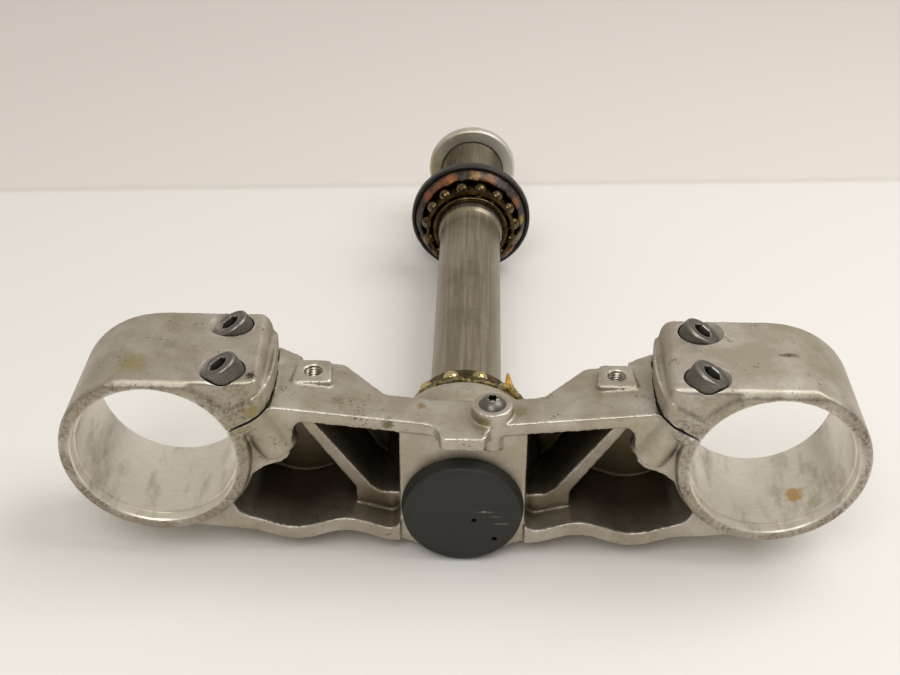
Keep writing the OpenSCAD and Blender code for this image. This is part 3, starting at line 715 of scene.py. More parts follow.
@dataclass
class ClampCasting:
    """The cast yoke, smoothed as a casting is and then bored, slit and drilled as the real one was."""

    fork_x: float = 105.0
    fork_z: float = 23.5
    bore_r: float = 27.5
    relief_r: float = 28.1
    clamp_h: float = 41.0
    bolt_x: float = 71.4
    bolt_z: float = 39.2
    bolt_ys: Pair = (8.0, 33.0)
    slit_angle: float = 29.0
    bolt_seat: float = 12.75
    pad_x: float = 52.5
    pad_y: float = 25.8
    pad_z: float = 42.6
    flat_z: float = 54.5
    flat_slope: float = 3.0
    flat_bevel: float = 2.0
    guide: Triple = (9.7, 10.4, 41.0)
    guide_boss_r: float = 7.0
    guide_foot: Triple = (7.1, 26.0, 36.0)
    voxel: float = 0.55
    rounding: int = 11
    grid_axis: Triple = (1.0, 0.9, 1.1)
    grid_angle: float = 57.0
    triangles: int = 185000
    unevenness: float = 0.03

    def on_bolt(self, side: int, y: float) -> Matrix:
        """Returns the frame of a bolt: its Y axis points to the head and its origin lies in the slit."""
        lean = math.radians(self.slit_angle)
        up = Vector((side * math.sin(lean), 0, math.cos(lean)))
        across = Vector((side * math.cos(lean), 0, -math.sin(lean)))
        along = across.cross(up)
        return Matrix((
            (across.x, up.x, along.x, side * self.bolt_x), (across.y, up.y, along.y, y),
            (across.z, up.z, along.z, self.bolt_z), (0, 0, 0, 1)))

    def in_slit(self, side: int) -> Matrix:
        """Returns the frame of a slit, whose Z axis crosses it."""
        return self.on_bolt(side, sum(self.bolt_ys) / 2) @ Matrix.Rotation(-math.pi / 2, 4, "X")

    def seat_plug(self, side: int, y: float) -> list[Ring]:
        """Returns the rings of a plug that fills the seat of a bolt head flush with the flat and its bevel."""
        place = self.on_bolt(side, y)
        up = place.col[1].to_3d()
        low: Ring = []
        high: Ring = []
        for i in range(72):
            angle = 2 * math.pi * i / 72
            foot = place @ Vector((7.15 * math.cos(angle), self.bolt_seat - 1.0, 7.15 * math.sin(angle)))
            flat = self.flat_z + (foot.y + 1.0) * math.tan(math.radians(self.flat_slope))
            bevel = self.flat_z - self.flat_bevel + foot.y * math.tan(math.radians(45 + self.flat_slope / 2))
            low.append(foot)
            high.append(foot + up * ((min(flat, bevel) - foot.z) / up.z))
        return [low, high]

    def fillers(self) -> Draft:
        """Returns plugs that close the machined holes, so that smoothing leaves the faces round them flat."""
        fill = Draft("fillers")
        for side in (-1, 1):
            fork = Matrix.Translation((side * self.fork_x, 0, self.fork_z))
            wide = self.relief_r + 0.3
            fill.turn([(0, 0), (wide, 0), (wide, self.clamp_h), (0, self.clamp_h)], 96, frame_of=fork)
            fill.box((-6.0, -14.5, -0.7), (10.0, 14.5, 0.7), self.in_slit(side))
            for y in self.bolt_ys:
                fill.loft(self.seat_plug(side, y))
            pad = to_front(side * self.pad_x, self.pad_y)
            fill.turn([(0, 38.5), (3.2, 38.5), (3.2, self.pad_z), (0, self.pad_z)], 32, frame_of=pad)
        hole = to_front(self.guide[0], self.guide[1])
        boss_r, front = self.guide_boss_r, self.guide[2]
        fill.turn([(0, 33), (boss_r, 33), (boss_r, front), (0, front)], 72, frame_of=hole)
        foot_y, foot_low, foot_high = self.guide_foot
        foot = to_front(self.guide[0], foot_y)
        fill.turn([(0, foot_low), (4.2, foot_low), (4.2, foot_high), (0, foot_high)], 48, frame_of=foot)
        fill.turn([(0, 5.5), (18.8, 5.5), (18.8, 10), (15.4, 10), (15.4, 42), (0, 42)], 96)
        return fill

    def cutters(self) -> list[Draft]:
        """Returns the tools that bore, slit and drill the casting, one draft for each step."""
        bores, seats, slits, holes = Draft("bores"), Draft("seats"), Draft("slits"), Draft("holes")
        top = self.clamp_h
        for side in (-1, 1):
            bores.turn([
                (0, -2), (self.relief_r + 2.5, -2), (self.relief_r, 0.5), (self.relief_r, 4), (self.bore_r, 4.1),
                (self.bore_r, top - 2.6), (self.relief_r, top - 2.5), (self.relief_r, top - 0.5),
                (self.relief_r + 2.5, top + 2), (0, top + 2)], 256,
                frame_of=Matrix.Translation((side * self.fork_x, 0, self.fork_z)))
            for y in self.bolt_ys:
                seats.turn([(0, -18.6), (4.0, -18.6), (4.0, 0), (4.4, 0.4), (4.4, self.bolt_seat),
                            (7.0, self.bolt_seat), (7.0, 30), (0, 30)], 64, frame_of=self.on_bolt(side, y))
            slits.box((-13, -23, -0.5), (12, 23, 0.5), self.in_slit(side))
            pad = to_front(side * self.pad_x, self.pad_y)
            holes.turn([(0, 33), (3.1, 33), (3.1, 42.1), (4.1, 43.1), (4.1, 46), (0, 46)], 48, frame_of=pad)
        guide = to_front(self.guide[0], self.guide[1])
        holes.turn([(0, 28), (2.6, 28), (2.6, 44), (0, 44)], 32, frame_of=guide)
        stem = Draft("stem_hole")
        stem.turn([(0, 0), (18.55, 0), (18.55, 9.5), (15.02, 9.6), (15.02, 45), (0, 45)], 160)
        return [bores, seats, slits, holes, stem]

    def smoothed(self) -> Mesh:
        """Returns the casting with rounded edges and creases, before it is machined."""
        rough_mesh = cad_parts["lower_yoke"].data.copy()
        work = bmesh.new()
        work.from_mesh(rough_mesh)
        work.from_mesh(self.fillers().mesh())
        bmesh.ops.remove_doubles(work, verts=work.verts, dist=1e-7)
        work.to_mesh(rough_mesh)
        work.free()
        # The grid of the skin lies askew to the casting, so that no edge runs along it and shows its steps.
        skew = Matrix.Rotation(math.radians(self.grid_angle), 4, Vector(self.grid_axis))
        rough_mesh.transform(skew)
        body = add_object("body", rough_mesh)
        skin = body.modifiers.new("skin", "REMESH")
        skin.mode, skin.voxel_size = "VOXEL", self.voxel * MM
        flow = body.modifiers.new("flow", "SMOOTH")
        flow.factor, flow.iterations = 0.5, self.rounding
        view = bpy.context.evaluated_depsgraph_get()
        dense = 2 * len(body.evaluated_get(view).data.polygons)
        fewer = body.modifiers.new("fewer", "DECIMATE")
        fewer.ratio = min(1.0, self.triangles / dense)
        view.update()
        made = bpy.data.meshes.new_from_object(body.evaluated_get(view))
        bpy.data.objects.remove(body)
        made.transform(skew.inverted())
        moved: list[float] = []
        for point, normal in [(vert.co.copy(), vert.normal.copy()) for vert in made.vertices]:
            wave = rough(point * 1000, 9.0) + 0.5 * rough(point * 1000, 3.5, 4.0)
            moved.extend(point + normal * (wave * self.unevenness * MM))
        made.vertices.foreach_set("co", moved)
        made.update()
        return made

    def machined(self, centre: Vector) -> bool:
        """Tells whether a face of the cut casting lies in a bore or a bolt seat.

        Args:
            centre: The middle of the face in millimetres.

        Returns:
            True for a machined face.
        """
        side = -1 if centre.x < 0 else 1
        away = math.hypot(centre.x - side * self.fork_x, centre.z - self.fork_z)
        if away < self.relief_r + 0.7 and 0.05 < centre.y < self.clamp_h - 0.05:
            return True
        for y in self.bolt_ys:
            local = self.on_bolt(side, y).inverted() @ centre
            if math.hypot(local.x, local.z) < 7.03 and local.y > self.bolt_seat - 0.05:
                return True
        return False

    def build(self, cast: Finish, bored: Finish) -> None:
        """Builds and dresses the casting.

        Args:
            cast: The finish of the cast skin.
            bored: The finish of the bores.
        """
        mesh = carve(self.smoothed(), self.cutters())
        for face in mesh.polygons:
            face.material_index = int(self.machined(face.center * 1000))
        settle("yoke_casting", mesh, [cast, bored], "cast_aluminium", "lower_yoke", crease=32.0)


@dataclass
class PadThreads:
    """The M6 threads of the two pads, each a ring that lies in its drilled hole."""

    pad_x: float = 52.5
    pad_y: float = 25.8
    front: float = 42.3
    back: float = 36.5
    core_r: float = 2.5
    root_r: float = 3.0
    pitch: float = 1.0

    def build(self, finish: Finish) -> None:
        """Builds and dresses both threads."""
        for side, name in ((-1, "left"), (1, "right")):
            draft = Draft("thread")
            place = to_front(side * self.pad_x, self.pad_y)
            steps = int((self.front - self.back) / self.pitch * 6)
            heights = [self.front - (self.front - self.back) * k / steps for k in range(steps + 1)]
            outline = [(3.2, self.back), (3.2, self.front)] + [(self.core_r, y) for y in heights]
            draft.turn(outline, 48, frame_of=place, shape=self.thread)
            settle(f"pad_thread_{name}", draft.mesh(), [finish], "cast_aluminium", crease=60.0)

    def thread(self, angle: float, r: float, y: float) -> Pair:
        """Returns radius and height of a point of the thread at an angle."""
        if r > self.root_r:
            return r, y
        lead = max(0.0, y - self.front + 0.6)
        return min(self.root_r + 0.05, self.core_r + (self.root_r - self.core_r) * flank(angle, y,
                                                                                         self.pitch) + lead), y


@dataclass
class SteeringStem:
    """The steel tube with its bearing journals and the threaded upper end."""

    r: float = 13.85
    journal_r: float = 14.98
    bore_r: float = 10.5
    foot_y: float = 9.5
    lower_end_y: float = 58.7
    shoulder_y: float = 195.0
    thread_y: float = 219.0
    top_y: float = 272.0
    pitch: float = 1.0
    thread_depth: float = 0.55

    def build(self, finish: Finish) -> None:
        """Builds and dresses the stem."""
        step = self.pitch / 6
        count = int((self.top_y - 1.6 - self.thread_y) / step)
        threads = [(self.journal_r, self.thread_y + k * step) for k in range(count)]
        barrel = [(self.r, self.lower_end_y + 2 + (self.shoulder_y - self.lower_end_y - 2) * k / 24) for k in range(25)]
        low = soften([(self.bore_r, self.foot_y), (self.journal_r - 1, self.foot_y),
                      (self.journal_r, self.foot_y + 1)], 0.3)
        outline = (low + [(self.journal_r, self.lower_end_y - 0.3), (self.journal_r - 0.1, self.lower_end_y)] + barrel
                   + [(self.r + 0.15, self.shoulder_y + 0.2), (self.journal_r - 0.1, self.shoulder_y + 1.8),
                      (self.journal_r, self.shoulder_y + 2.1), (self.journal_r, self.thread_y - 0.5)] + threads
                   + [(self.journal_r - 1.5, self.top_y), (self.bore_r + 1, self.top_y), (self.bore_r, self.top_y - 1)])
        draft = Draft("stem")
        draft.turn(outline, 112, shape=self.thread)
        settle("stem_tube", draft.mesh(), [finish], "stem_steel", "steering_stem", crease=50.0)

    def thread(self, angle: float, r: float, y: float) -> Pair:
        """Returns radius and height of a point of the stem at an angle."""
        if r < self.journal_r or y < self.thread_y or y > self.top_y - 1.55:
            return r, y
        return r - self.thread_depth * flank(angle, y, self.pitch), y


class Facing(Enum):
    """Which way the thin end of a race points."""

    UP_THE_STEM = 1
    DOWN_THE_STEM = -1


@dataclass
class SteeringBearing:
    """One steering bearing without its outer race: inner race, crown cage, balls and grease."""

    name: str
    ball_y: float
    count: int
    facing: Facing
    pitch_r: float = 20.0
    ball_r: float = 3.08
    groove_r: float = 3.2
    back: float = 10.0
    cage_t: float = 1.2
    finger: float = 1.2
    edge: float = 1.0

    def at(self, height: float) -> float:
        """Returns the place on the stem of a height that is counted from the back of the race."""
        return self.ball_y + self.facing.value * (height - self.back)

    def build(self, steel: Finish, ball: Finish, cage: Finish) -> None:
        """Builds and dresses race, balls and cage, each in its own finish."""
        groove = [(self.pitch_r + self.groove_r * math.cos(a), self.back + self.groove_r * math.sin(a))
                  for a in [math.radians(-41.4 - 196.3 * k / 24) for k in range(25)]]
        outline = [(15.02, 0.3), (15.3, 0), (21.8, 0), (22.25, 0.2), (22.4, 0.6), (22.4, 7.6), *groove,
                   (17.7, 13.65), (17.55, 13.9), (17.2, 14.2), (16.0, 14.2), (15.3, 13.8), (15.02, 13.2)]
        race = Draft("race")
        race.turn([(r, self.at(h)) for r, h in outline], 160)
        settle(f"{self.name}_race_ring", race.mesh(), [steel], "bearing_steel", f"{self.name}_inner_race")
        balls = Draft("balls")
        for i in range(self.count):
            angle = 2 * math.pi * (i + 0.5) / self.count
            centre = Vector((self.pitch_r * math.sin(angle), self.ball_y, self.pitch_r * math.cos(angle)))
            balls.ball(centre, self.ball_r)
        settle(f"{self.name}_ball_set", balls.mesh(), [ball], "bearing_steel", f"{self.name}_balls", crease=89.0)
        self.build_cage(cage)

    def build_cage(self, finish: Finish) -> None:
        """Builds and dresses the crown cage, whose fingers reach between the balls."""
        segments = self.count * 24
        half = self.cage_t / 2
        inner: list[Ring] = []
        for r, v in ((self.pitch_r - half, 0.0), (self.pitch_r - half, 0.5), (self.pitch_r - half, 1.0),
                     (self.pitch_r + half, 1.0), (self.pitch_r + half, 0.5), (self.pitch_r + half, 0.0)):
            ring: Ring = []
            for i in range(segments):
                angle = 2 * math.pi * i / segments
                across = ((angle * self.count / (2 * math.pi)) % 1.0 - 0.5) * 2 * math.pi * self.pitch_r / self.count
                room = self.ball_r + 0.1
                low = math.sqrt(max(0.0, room * room - across * across)) if abs(across) < room else -self.finger
                high = self.ball_r + self.edge
                y = self.ball_y + self.facing.value * (low + (high - low) * v)
                ring.append(Vector((r * math.sin(angle), y, r * math.cos(angle))))
            inner.append(ring)
        draft = Draft("cage")
        draft.loft(inner, loop=True)
        settle(f"{self.name}_crown_cage", draft.mesh(), [finish], "cage_steel", f"{self.name}_ball_cage")


@dataclass
class BearingGrease:
    """Old grease: a band inside the dust cover, and lumps round the lower bearing."""

    cover_y: float = 214.4
    inner_r: float = 22.45
    outer_r: float = 26.5

    def band(self, angle: float, r: float, y: float) -> Pair:
        """Returns radius and height of a point of the band, which is lumpy towards the balls."""
        if y > self.cover_y - 0.6:
            return r, y
        point = Vector((r * math.cos(angle), y * 0.4, r * math.sin(angle)))
        lump = rough(point, 5.0, 2.0) + 0.5 * rough(point, 1.8, 7.0)
        return min(self.outer_r + 0.02, r + 0.25 * lump), y + 1.5 * lump

    def lumps(self) -> Mesh:
        """Returns the lumps round the lower bearing and on the rim of the hub."""
        draft = Draft("lumps")
        for k in range(150):
            angle = 2 * math.pi * k / 150 + 0.1 * rough(Vector((k, 3, 0)), 1.7)
            # Two balls at the front were wiped clean and stand out of the grease.
            clean = max(0.0, 1.0 - min(abs(math.degrees(angle) - 90 - 15), abs(math.degrees(angle) - 90 + 15)) / 10.0)
            spread = rough(Vector((k * 1.0, 0, 0)), 2.3)
            r = 19.3 + 1.5 * rough(Vector((0, k * 1.0, 9)), 3.1) - 2.6 * clean
            height = 52.4 + 1.9 * spread - 2.0 * clean
            draft.ball(Vector((r * math.cos(angle), height, r * math.sin(angle))), 1.3 + 0.7 * abs(spread), 12, 8)
            drop = rough(Vector((5, k * 1.0, 0)), 2.9)
            r = 22.4 + 0.5 * rough(Vector((k * 1.0, 7, 0)), 2.0)
            centre = Vector((r * math.cos(angle), 49.4 + 2.2 * drop, r * math.sin(angle)))
            draft.ball(centre, 0.9 + 0.6 * abs(drop), 12, 8)
        for x, y, z, r in ((15.7, 50.6, 24.6, 0.7), (15.8, 50.2, 23.6, 0.9), (15.9, 49.8, 22.5, 1.2),
                           (16.1, 49.0, 21.4, 1.5),
                           (16.4, 47.6, 20.9, 1.7), (17.2, 45.8, 20.6, 1.7), (18.2, 44.4, 20.2, 1.6),
                           (19.6, 43.4, 19.6, 1.4),
                           (20.8, 42.8, 18.6, 1.2), (22.2, 42.5, 16.8, 1.1), (23.4, 42.4, 14.6, 0.9),
                           (13.6, 45.2, 21.6, 1.3),
                           (15.0, 46.6, 21.4, 1.4), (12.0, 44.0, 22.2, 1.0)):
            draft.ball(Vector((x, y, z)), r, 16, 10)
        body = add_object("lumps", draft.mesh())
        skin = body.modifiers.new("skin", "REMESH")
        skin.mode, skin.voxel_size = "VOXEL", 0.35 * MM
        flow = body.modifiers.new("flow", "SMOOTH")
        flow.factor, flow.iterations = 0.5, 4
        made = bpy.data.meshes.new_from_object(body.evaluated_get(bpy.context.evaluated_depsgraph_get()))
        bpy.data.objects.remove(body)
        return made

    def build(self, rusty: Finish, golden: Finish) -> None:
        """Builds and dresses the grease.

        Args:
            rusty: The grease of the upper bearing.
            golden: The grease of the lower bearing.
        """
        draft = Draft("band")
        draft.turn([(self.inner_r, self.cover_y), (self.inner_r, 211), (self.inner_r, 208.6), (22.8, 207.4),
                    (23.4, 206.9),
                    (24.0, 207.3), (24.6, 208.2), (25.2, 209.2), (25.8, 210.4), (26.3, 211.8), (self.outer_r, 213),
                    (25.9, 214.0), (24.2, self.cover_y)], 240, shape=self.band)
        settle("grease_band", draft.mesh(), [rusty], "cage_steel", crease=80.0)
        settle("grease_lumps", self.lumps(), [golden], "cage_steel", crease=80.0)


@dataclass
class DustCovers:
    """The seal under the lower bearing and the dished cover over the upper one."""

    boss_y: float = 42.0
    cover_y: float = 214.5
    chip: float = 0.16

    def worn(self, angle: float, r: float, y: float) -> Pair:
        """Returns radius and height of a point of the cover, whose rim is nicked."""
        if r < 26.2:
            return r, y
        nick = max(0.0, rough(Vector((r * math.cos(angle), 0, r * math.sin(angle))), 2.6, 3.0) - 0.25)
        return r - self.chip * nick * 2, y + 0.5 * nick if y < 212.5 else y

    def build(self, finish: Finish) -> None:
        """Builds and dresses seal and cover."""
        seal = Draft("seal")
        low = self.boss_y
        seal.turn(soften([(15.2, low), (21.6, low), (22.6, low + 1), (21.1, low + 2.5), (18.6, low + 2.5),
                          (18.2, low + 2.1),
                          (17.4, low + 2.1), (17.0, low + 2.5), (15.2, low + 2.5)], 0.3), 144)
        settle("lower_seal_lip", seal.mesh(), [finish], "black_rubber", "lower_dust_seal")
        cover = Draft("cover")
        top = self.cover_y + 2.4
        cover.turn(soften([(15.2, self.cover_y), (24.15, self.cover_y), (26.15, self.cover_y - 1), (26.55, top - 5.5),
                           (27.75, top - 5.5), (28.15, top - 4.9), (28.15, top - 1.4), (26.75, top), (24.5, top),
                           (24.1, top - 0.4),
                           (19.2, top - 0.4), (18.8, top), (15.2, top)], 0.4), 240, shape=self.worn)
        settle("upper_cover_dish", cover.mesh(), [finish], "black_rubber", "upper_dust_cover")


@dataclass
class StemNut:
    """The flanged ring nut with four spanner slots."""

    low_y: float = 263.4
    flange_t: float = 5.2
    flange_r: float = 21.6
    collar_r: float = 17.8
    collar_h: float = 4.6
    slot_w: float = 5.0

    def build(self, finish: Finish) -> None:
        """Builds and dresses the nut."""
        mid = self.low_y + self.flange_t
        top = mid + self.collar_h
        body = Draft("nut")
        body.turn(soften([(15.05, self.low_y + 0.6), (15.65, self.low_y), (self.flange_r - 0.8, self.low_y),
                          (self.flange_r, self.low_y + 0.8), (self.flange_r, mid - 0.8), (self.flange_r - 0.8, mid),
                          (self.collar_r + 0.6, mid), (self.collar_r, mid + 0.4), (self.collar_r, top - 0.5),
                          (self.collar_r - 0.5, top), (15.65, top), (15.05, top - 0.6)], 0.25), 192)
        slots = Draft("slots")
        for i in range(4):
            turned = Matrix.Rotation(math.radians(90 * i + 45), 4, "Y")
            slots.box((-self.slot_w / 2, mid + 0.8, 12), (self.slot_w / 2, top + 2, 20), turned)
        settle("ring_nut", carve(body.mesh(), [slots]), [finish], "nut_aluminium", "stem_nut")


@dataclass
class HubPlug:
    """The flexible cap in the foot of the hub, with two vent holes."""

    face_r: float = 20.8
    foot_r: float = 21.5
    hub_y: float = 5.5
    holes: tuple[Pair, ...] = ((4.1, -2.3), (11.4, -10.7))
    hole_r: float = 0.9

    def build(self, finish: Finish) -> None:
        """Builds and dresses the plug."""
        body = Draft("plug")
        body.turn([(0, 0), (6, 0), (12, 0), (17.5, 0), (18.6, 0.05), (19.0, 0.2), (19.3, 0.1), (19.6, 0.02),
                   (20.0, 0.12), (20.35, 0.35),
                   (20.65, 0.75), (20.8, 1.2), (20.95, 2.6), (21.15, 3.6), (21.45, 4.4), (21.5, 5.2),
                   (21.3, self.hub_y),
                   (18.4, self.hub_y), (18.4, 9.4), (15.5, 9.4), (15.5, 3), (0, 3)], 192)
        vents = Draft("vents")
        for x, z in self.holes:
            vents.turn([(0, -1), (self.hole_r + 0.4, -1), (self.hole_r + 0.25, 0), (self.hole_r, 0.3),
                        (self.hole_r, 4), (0, 4)], 32,
                       frame_of=Matrix.Translation((x, 0, z)))
        settle("plug_cap", carve(body.mesh(), [vents]), [finish], "black_rubber", "hub_plug")


@dataclass
class PinchBolt:
    """A socket head cap screw with a knurled head."""

    name: str
    place: Matrix
    seat: float = 12.75
    r: float = 4.0
    head_r: float = 6.5
    head_h: float = 8.0
    length: float = 30.0
    key: float = 6.0
    knurls: int = 56
    pitch: float = 1.25

    def head(self, angle: float, r: float, y: float) -> Pair:
        """Returns radius and height of a point of the head: knurled outside, hexagonal inside."""
        if r < 0:
            third = (angle + math.pi / 6) % (math.pi / 3) - math.pi / 6
            return -r * self.key / 2 / math.cos(third), y
        if r > self.head_r - 0.05 and self.seat + 1.0 < y < self.seat + self.head_h - 1.2:
            return r - 0.14 * abs(math.cos(self.knurls * angle / 2)) ** 3, y
        return r, y

    def screw(self, angle: float, r: float, y: float) -> Pair:
        """Returns radius and height of a point of the threaded shank."""
        if r < self.r - 0.1 or y > self.seat - 8:
            return r, y
        return r - 0.65 * flank(angle, y, self.pitch), y

    def build(self, finish: Finish) -> None:
        """Builds and dresses the screw."""
        top, low, wide = self.seat + self.head_h, self.seat, self.head_r
        sides = [(wide, low + 0.9 + (self.head_h - 2.0) * k / 10) for k in range(11)]
        outline = ([(0, top - 4.4), (-0.5, top - 4.3), (-1.0, top - 4.0), (-1.0, top - 0.5), (-1.03, top - 0.25),
                    (3.62, top),
                    (4.0, top + 0.0), (wide - 1.1, top), (wide - 0.7, top - 0.06), (wide - 0.35, top - 0.25),
                    (wide - 0.1, top - 0.6)]
                   + sides[::-1] + [(wide - 0.1, low + 0.4), (wide - 0.5, low + 0.02), (3.0, low + 0.02),
                                    (0, low + 0.02)])
        draft = Draft("bolt")
        draft.turn(outline, self.knurls * 6, frame_of=self.place, shape=self.head)
        foot = low - self.length
        rows = int((self.length - 9) / self.pitch * 5)
        thread = [(self.r, foot + 0.9 + k * self.pitch / 5) for k in range(rows)]
        draft.turn([(0, foot), (self.r - 0.9, foot)] + thread + [(self.r - 0.02, low + 1), (0, low + 1)], 48,
                   frame_of=self.place, shape=self.screw)
        settle(f"cap_screw_{self.name}", draft.mesh(), [finish], "zinc_steel", f"pinch_bolt_{self.name}", crease=30.0)


@dataclass
class GuideScrew:
    """A button head screw with a six lobed socket, beside the tongue."""

    at: Triple = (9.7, 10.4, 41.0)
    r: float = 2.5
    head_r: float = 4.75
    head_h: float = 2.75
    socket_r: float = 1.62
    socket_h: float = 1.8

    def lobes(self, angle: float, r: float, y: float) -> Pair:
        """Returns radius and height of a point of the head, whose socket has six lobes."""
        if r < 0:
            return -r * (self.socket_r + 0.3 * math.cos(6 * angle)), y
        return r, y

    def build(self, finish: Finish) -> None:
        """Builds and dresses the screw."""
        place = to_front(*self.at)
        dome = (self.head_r ** 2 + self.head_h ** 2) / (2 * self.head_h)
        skin = []
        for k in range(13):
            r = 2.15 + (self.head_r - 2.15) * k / 12
            skin.append((r, self.head_h - dome + math.sqrt(dome * dome - r * r)))
        floor = self.head_h - self.socket_h
        outline = ([(0, floor - 0.3), (-0.4, floor - 0.2), (-1.0, floor), (-1.0, self.head_h - 0.35),
                    (-1.06, self.head_h - 0.22)]
                   + skin + [(self.head_r, -0.02), (self.r, -0.02), (self.r, -12), (0, -12)])
        draft = Draft("screw")
        draft.turn(outline, 144, frame_of=place, shape=self.lobes)
        settle("button_screw", draft.mesh(), [finish], "zinc_steel", "guide_screw", crease=34.0)


@dataclass
class Studio:
    """The table, the soft light and the camera of the photograph."""

    eye: Triple = (4.2, -352.2, 313.2)
    ahead: Triple = (-0.0204, 0.8279, -0.5605)
    up: Triple = (-0.0176, 0.5602, 0.8282)
    lens: float = 53.76
    floor_z: float = -21.63
    floor_tilt: float = 1.74
    front_glow: float = 0.22
    back_glow: float = 0.62
    key_at: Triple = (560.0, 150.0, 840.0)
    key_size: float = 700.0
    key_power: float = 4.8
    top_at: Triple = (-120.0, -520.0, 780.0)
    top_size: float = 520.0
    top_power: float = 3.1

    def build(self, table: Finish) -> None:
        """Builds the floor, the lamps, the world and the camera."""
        floor = Draft("floor")
        tilt = Matrix.Translation((0, 0, self.floor_z)) @ Matrix.Rotation(math.radians(-self.floor_tilt), 4, "X")
        floor.box((-3000, -3000, -20), (3000, 3000, 0), tilt)
        board = add_object("table", floor.mesh())
        board.data.materials.append(table.material())
        self.lamp("key", self.key_at, self.key_size, self.key_power)
        self.lamp("top", self.top_at, self.top_size, self.top_power)
        world = bpy.data.worlds.new("soft_room")
        world.use_nodes = True
        tree = world.node_tree
        tree.nodes.clear()
        # The room is bright overhead and behind the table, and dim on the near side.
        towards = add_node(tree, "SeparateXYZ", {0: add_node(tree, "TexCoord").outputs["Generated"]}).outputs
        lift = add_node(tree, "Math", {0: towards["Z"], 1: 0.5, 2: towards["Y"]}, operation="MULTIPLY_ADD")
        glow = add_node(tree, "MapRange", {
            "Value": lift.outputs[0], "From Min": -0.75, "From Max": 0.35,
            "To Min": self.front_glow, "To Max": self.back_glow})
        sky = add_node(tree, "Background", {"Color": linear("FFFAF2"), "Strength": glow.outputs[0]})
        add_node(tree, "OutputWorld", {"Surface": sky.outputs[0]})
        bpy.context.scene.world = world
        self.camera()
        bpy.context.scene.view_settings.view_transform = "Standard"

    def lamp(self, name: str, at: Triple, size: float, power: float) -> None:
        """Hangs a square soft lamp that points at the middle of the part.

        Args:
            name: Its name.
            at: Its place in millimetres.
            size: The length of its sides in millimetres.
            power: Its power in watts.
        """
        light = bpy.data.lights.new(name, "AREA")
        light.size, light.energy = size * MM, power
        lamp = add_object(name, light)
        lamp.location = Vector(at) * MM
        lamp.rotation_euler = (Vector((0, 0.08, 0)) - lamp.location).to_track_quat("-Z", "Y").to_euler()

    def camera(self) -> None:
        """Sets up the camera as it stood in the photograph."""
        lens = bpy.data.cameras.new("camera")
        lens.lens, lens.sensor_width, lens.clip_start, lens.clip_end = self.lens, 36.0, 0.01, 20.0
        eye = add_object("camera", lens)
        back = -Vector(self.ahead).normalized()
        up = Vector(self.up).normalized()
        right = up.cross(back).normalized()
        up = back.cross(right)
        eye.matrix_world = Matrix((
            (right.x, up.x, back.x, self.eye[0] * MM), (right.y, up.y, back.y, self.eye[1] * MM),
            (right.z, up.z, back.z, self.eye[2] * MM), (0, 0, 0, 1)))
        bpy.context.scene.camera = eye


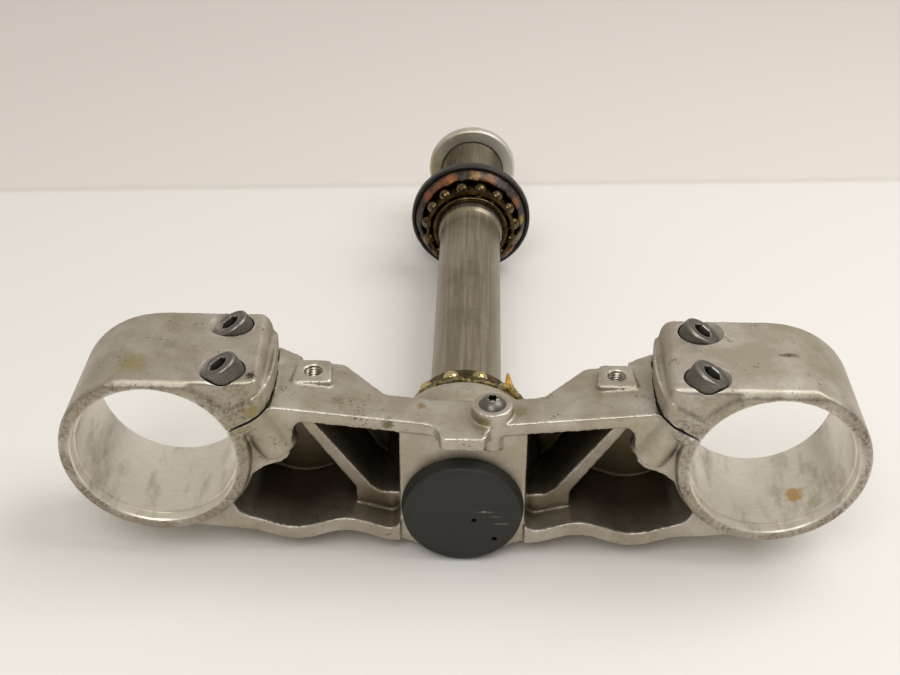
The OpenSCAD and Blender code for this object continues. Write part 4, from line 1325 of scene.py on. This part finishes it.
def main() -> None:
    """Builds every piece and the studio."""
    logging.basicConfig(level=logging.INFO, format="%(name)s %(message)s")
    cast = CastAluminium("cast_aluminium_blasted", "ABA18F", 0.9, 0.38, marks=(
        Mark((-110.5, 10.7, 55.8), 6.0, "9A8F4A", 0.5, 2.6), Mark((-100.0, 21.7, 55.8), 3.5, "7A7448", 0.25),
        Mark((-69.6, 0.0, 43.2), 3.0, "8A7F3E", 0.6), Mark((-70.3, 5.1, 55.8), 2.6, "2A241B", 0.9, 0.6),
        Mark((109.2, 21.1, 55.8), 4.0, "4A4338", 0.8, 0.8, (1.0, 3.0, 1.0)),
        Mark((-14.3, 13.9, 38.2), 2.2, "8A5A22", 0.85, 0.9),
        Mark((-25.5, 4.2, 36.6), 2.6, "5E5A2C", 0.8, 0.9), Mark((19.0, 11.0, 38.2), 3.6, "77733F", 0.45, 1.0),
        Mark((-43.1, 11.9, 38.2), 3.6, "6E6838", 0.6, 1.0), Mark((7.0, 4.0, 38.0), 2.4, "8E8A3E", 0.6, 0.9)))
    bored = BoredAluminium("bored_aluminium", "D0C8B8", 0.7, 0.34, marks=(
        Mark((117.8, 15.6, -0.9), 4.2, "BE8A1C", 0.75, 2.4), Mark((123.2, 8.7, 2.9), 4.0, "85803F", 0.4, 2.4)))
    threaded = BoredAluminium("tapped_aluminium", "989286", 0.95, 0.3, pale="B0AA9E", ring=0.4)
    tube = DrawnSteel("drawn_tube_steel", "827965", 0.85, 0.36)
    golden_steel = BearingSteel("gold_tinted_bearing_steel", "CDBB84", 1.0, 0.08, film="5E4E20")
    oiled_steel = BearingSteel("oiled_bearing_steel", "5C5430", 0.9, 0.28, film="27220F", cover=0.85)
    filmed_steel = BearingSteel("filmed_bearing_steel", "6A5A40", 1.0, 0.14, film="1D130A", cover=0.9)
    zinc = ZincSteel("dulled_zinc_steel", "6E6A62", 0.95, 0.34)
    rubber = MouldedRubber("moulded_black_rubber", "211F1A", 0.0, 0.6, bloom="2C2924", soiling=0.12, marks=(
        Mark((8.0, 0.0, 1.8), 1.4, "6F6A5E", 0.6, 0.4, (0.36, 1.0, 3.0)),
        Mark((11.6, 0.0, -0.2), 1.3, "625D54", 0.55, 0.4, (0.5, 1.0, 3.0)),
        Mark((13.8, 0.0, -3.4), 1.4, "6A655A", 0.6, 0.4, (0.38, 1.0, 2.6)),
        Mark((7.6, 0.0, 1.96), 0.5, "A39E90", 0.7, 0.3)))
    dirty_rubber = MouldedRubber("dirty_black_rubber", "0F0E0B", 0.0, 0.32, bloom="211E1A", dirt="3A2C1C", soiling=0.5)
    cage = CageSteel("pressed_cage_steel", "5E4E2A", 0.8, 0.3, film="3A2A12")
    rusty = OldGrease("rust_brown_grease", "1D1209", 0.0, 0.42, thin="43260F", thick="0C0704", marks=(
        Mark((-9.7, 208.0, 22.9), 4.4, "8E5221", 0.9, 1.4), Mark((-15.0, 208.0, 19.0), 3.6, "7E4A20", 0.85, 1.4),
        Mark((2.1, 208.0, 25.0), 3.6, "A0793F", 0.85, 1.4), Mark((9.0, 208.0, 23.0), 4.0, "8C5A2A", 0.85, 1.4),
        Mark((-19.6, 208.0, 14.0), 3.8, "84481A", 0.85, 1.4), Mark((20.8, 208.0, 11.5), 3.4, "82502A", 0.8, 1.4),
        Mark((23.0, 208.0, 2.5), 3.2, "9A8030", 0.85, 1.4), Mark((22.2, 208.0, -6.0), 3.4, "8F8160", 0.8, 1.4),
        Mark((18.2, 208.0, -13.6), 3.0, "8A5426", 0.8, 1.4), Mark((-20.6, 208.0, -9.8), 3.0, "9A7A2E", 0.75, 1.4)))
    golden = OldGrease("golden_grease", "5C5022", 0.0, 0.24, thin="B09C4C", thick="2C260F", marks=(
        Mark((15.9, 49.5, 23.4), 4.6, "C79A34", 0.9, 1.4), Mark((18.0, 44.6, 20.0), 3.2, "94762C", 0.7, 1.4)))
    nut = TurnedAluminium("turned_aluminium", "D2CDC3", 0.8, 0.43)
    casting = ClampCasting()
    casting.build(cast, bored)
    PadThreads().build(threaded)
    SteeringStem().build(tube)
    SteeringBearing("lower", 54.5, 12, Facing.UP_THE_STEM).build(oiled_steel, golden_steel, cage)
    SteeringBearing("upper", 204.5, 15, Facing.DOWN_THE_STEM).build(filmed_steel, filmed_steel, cage)
    BearingGrease().build(rusty, golden)
    DustCovers().build(dirty_rubber)
    StemNut().build(nut)
    HubPlug().build(rubber)
    for side, side_name in ((-1, "left"), (1, "right")):
        for y, row in zip(casting.bolt_ys, ("lower", "upper")):
            PinchBolt(f"{side_name}_{row}", casting.on_bolt(side, y)).build(zinc)
    GuideScrew().build(zinc)
    Studio().build(TableTop("warm_white_board", "EAE7E2", 0.0, 0.8))


if __name__ == "__main__":
    main()
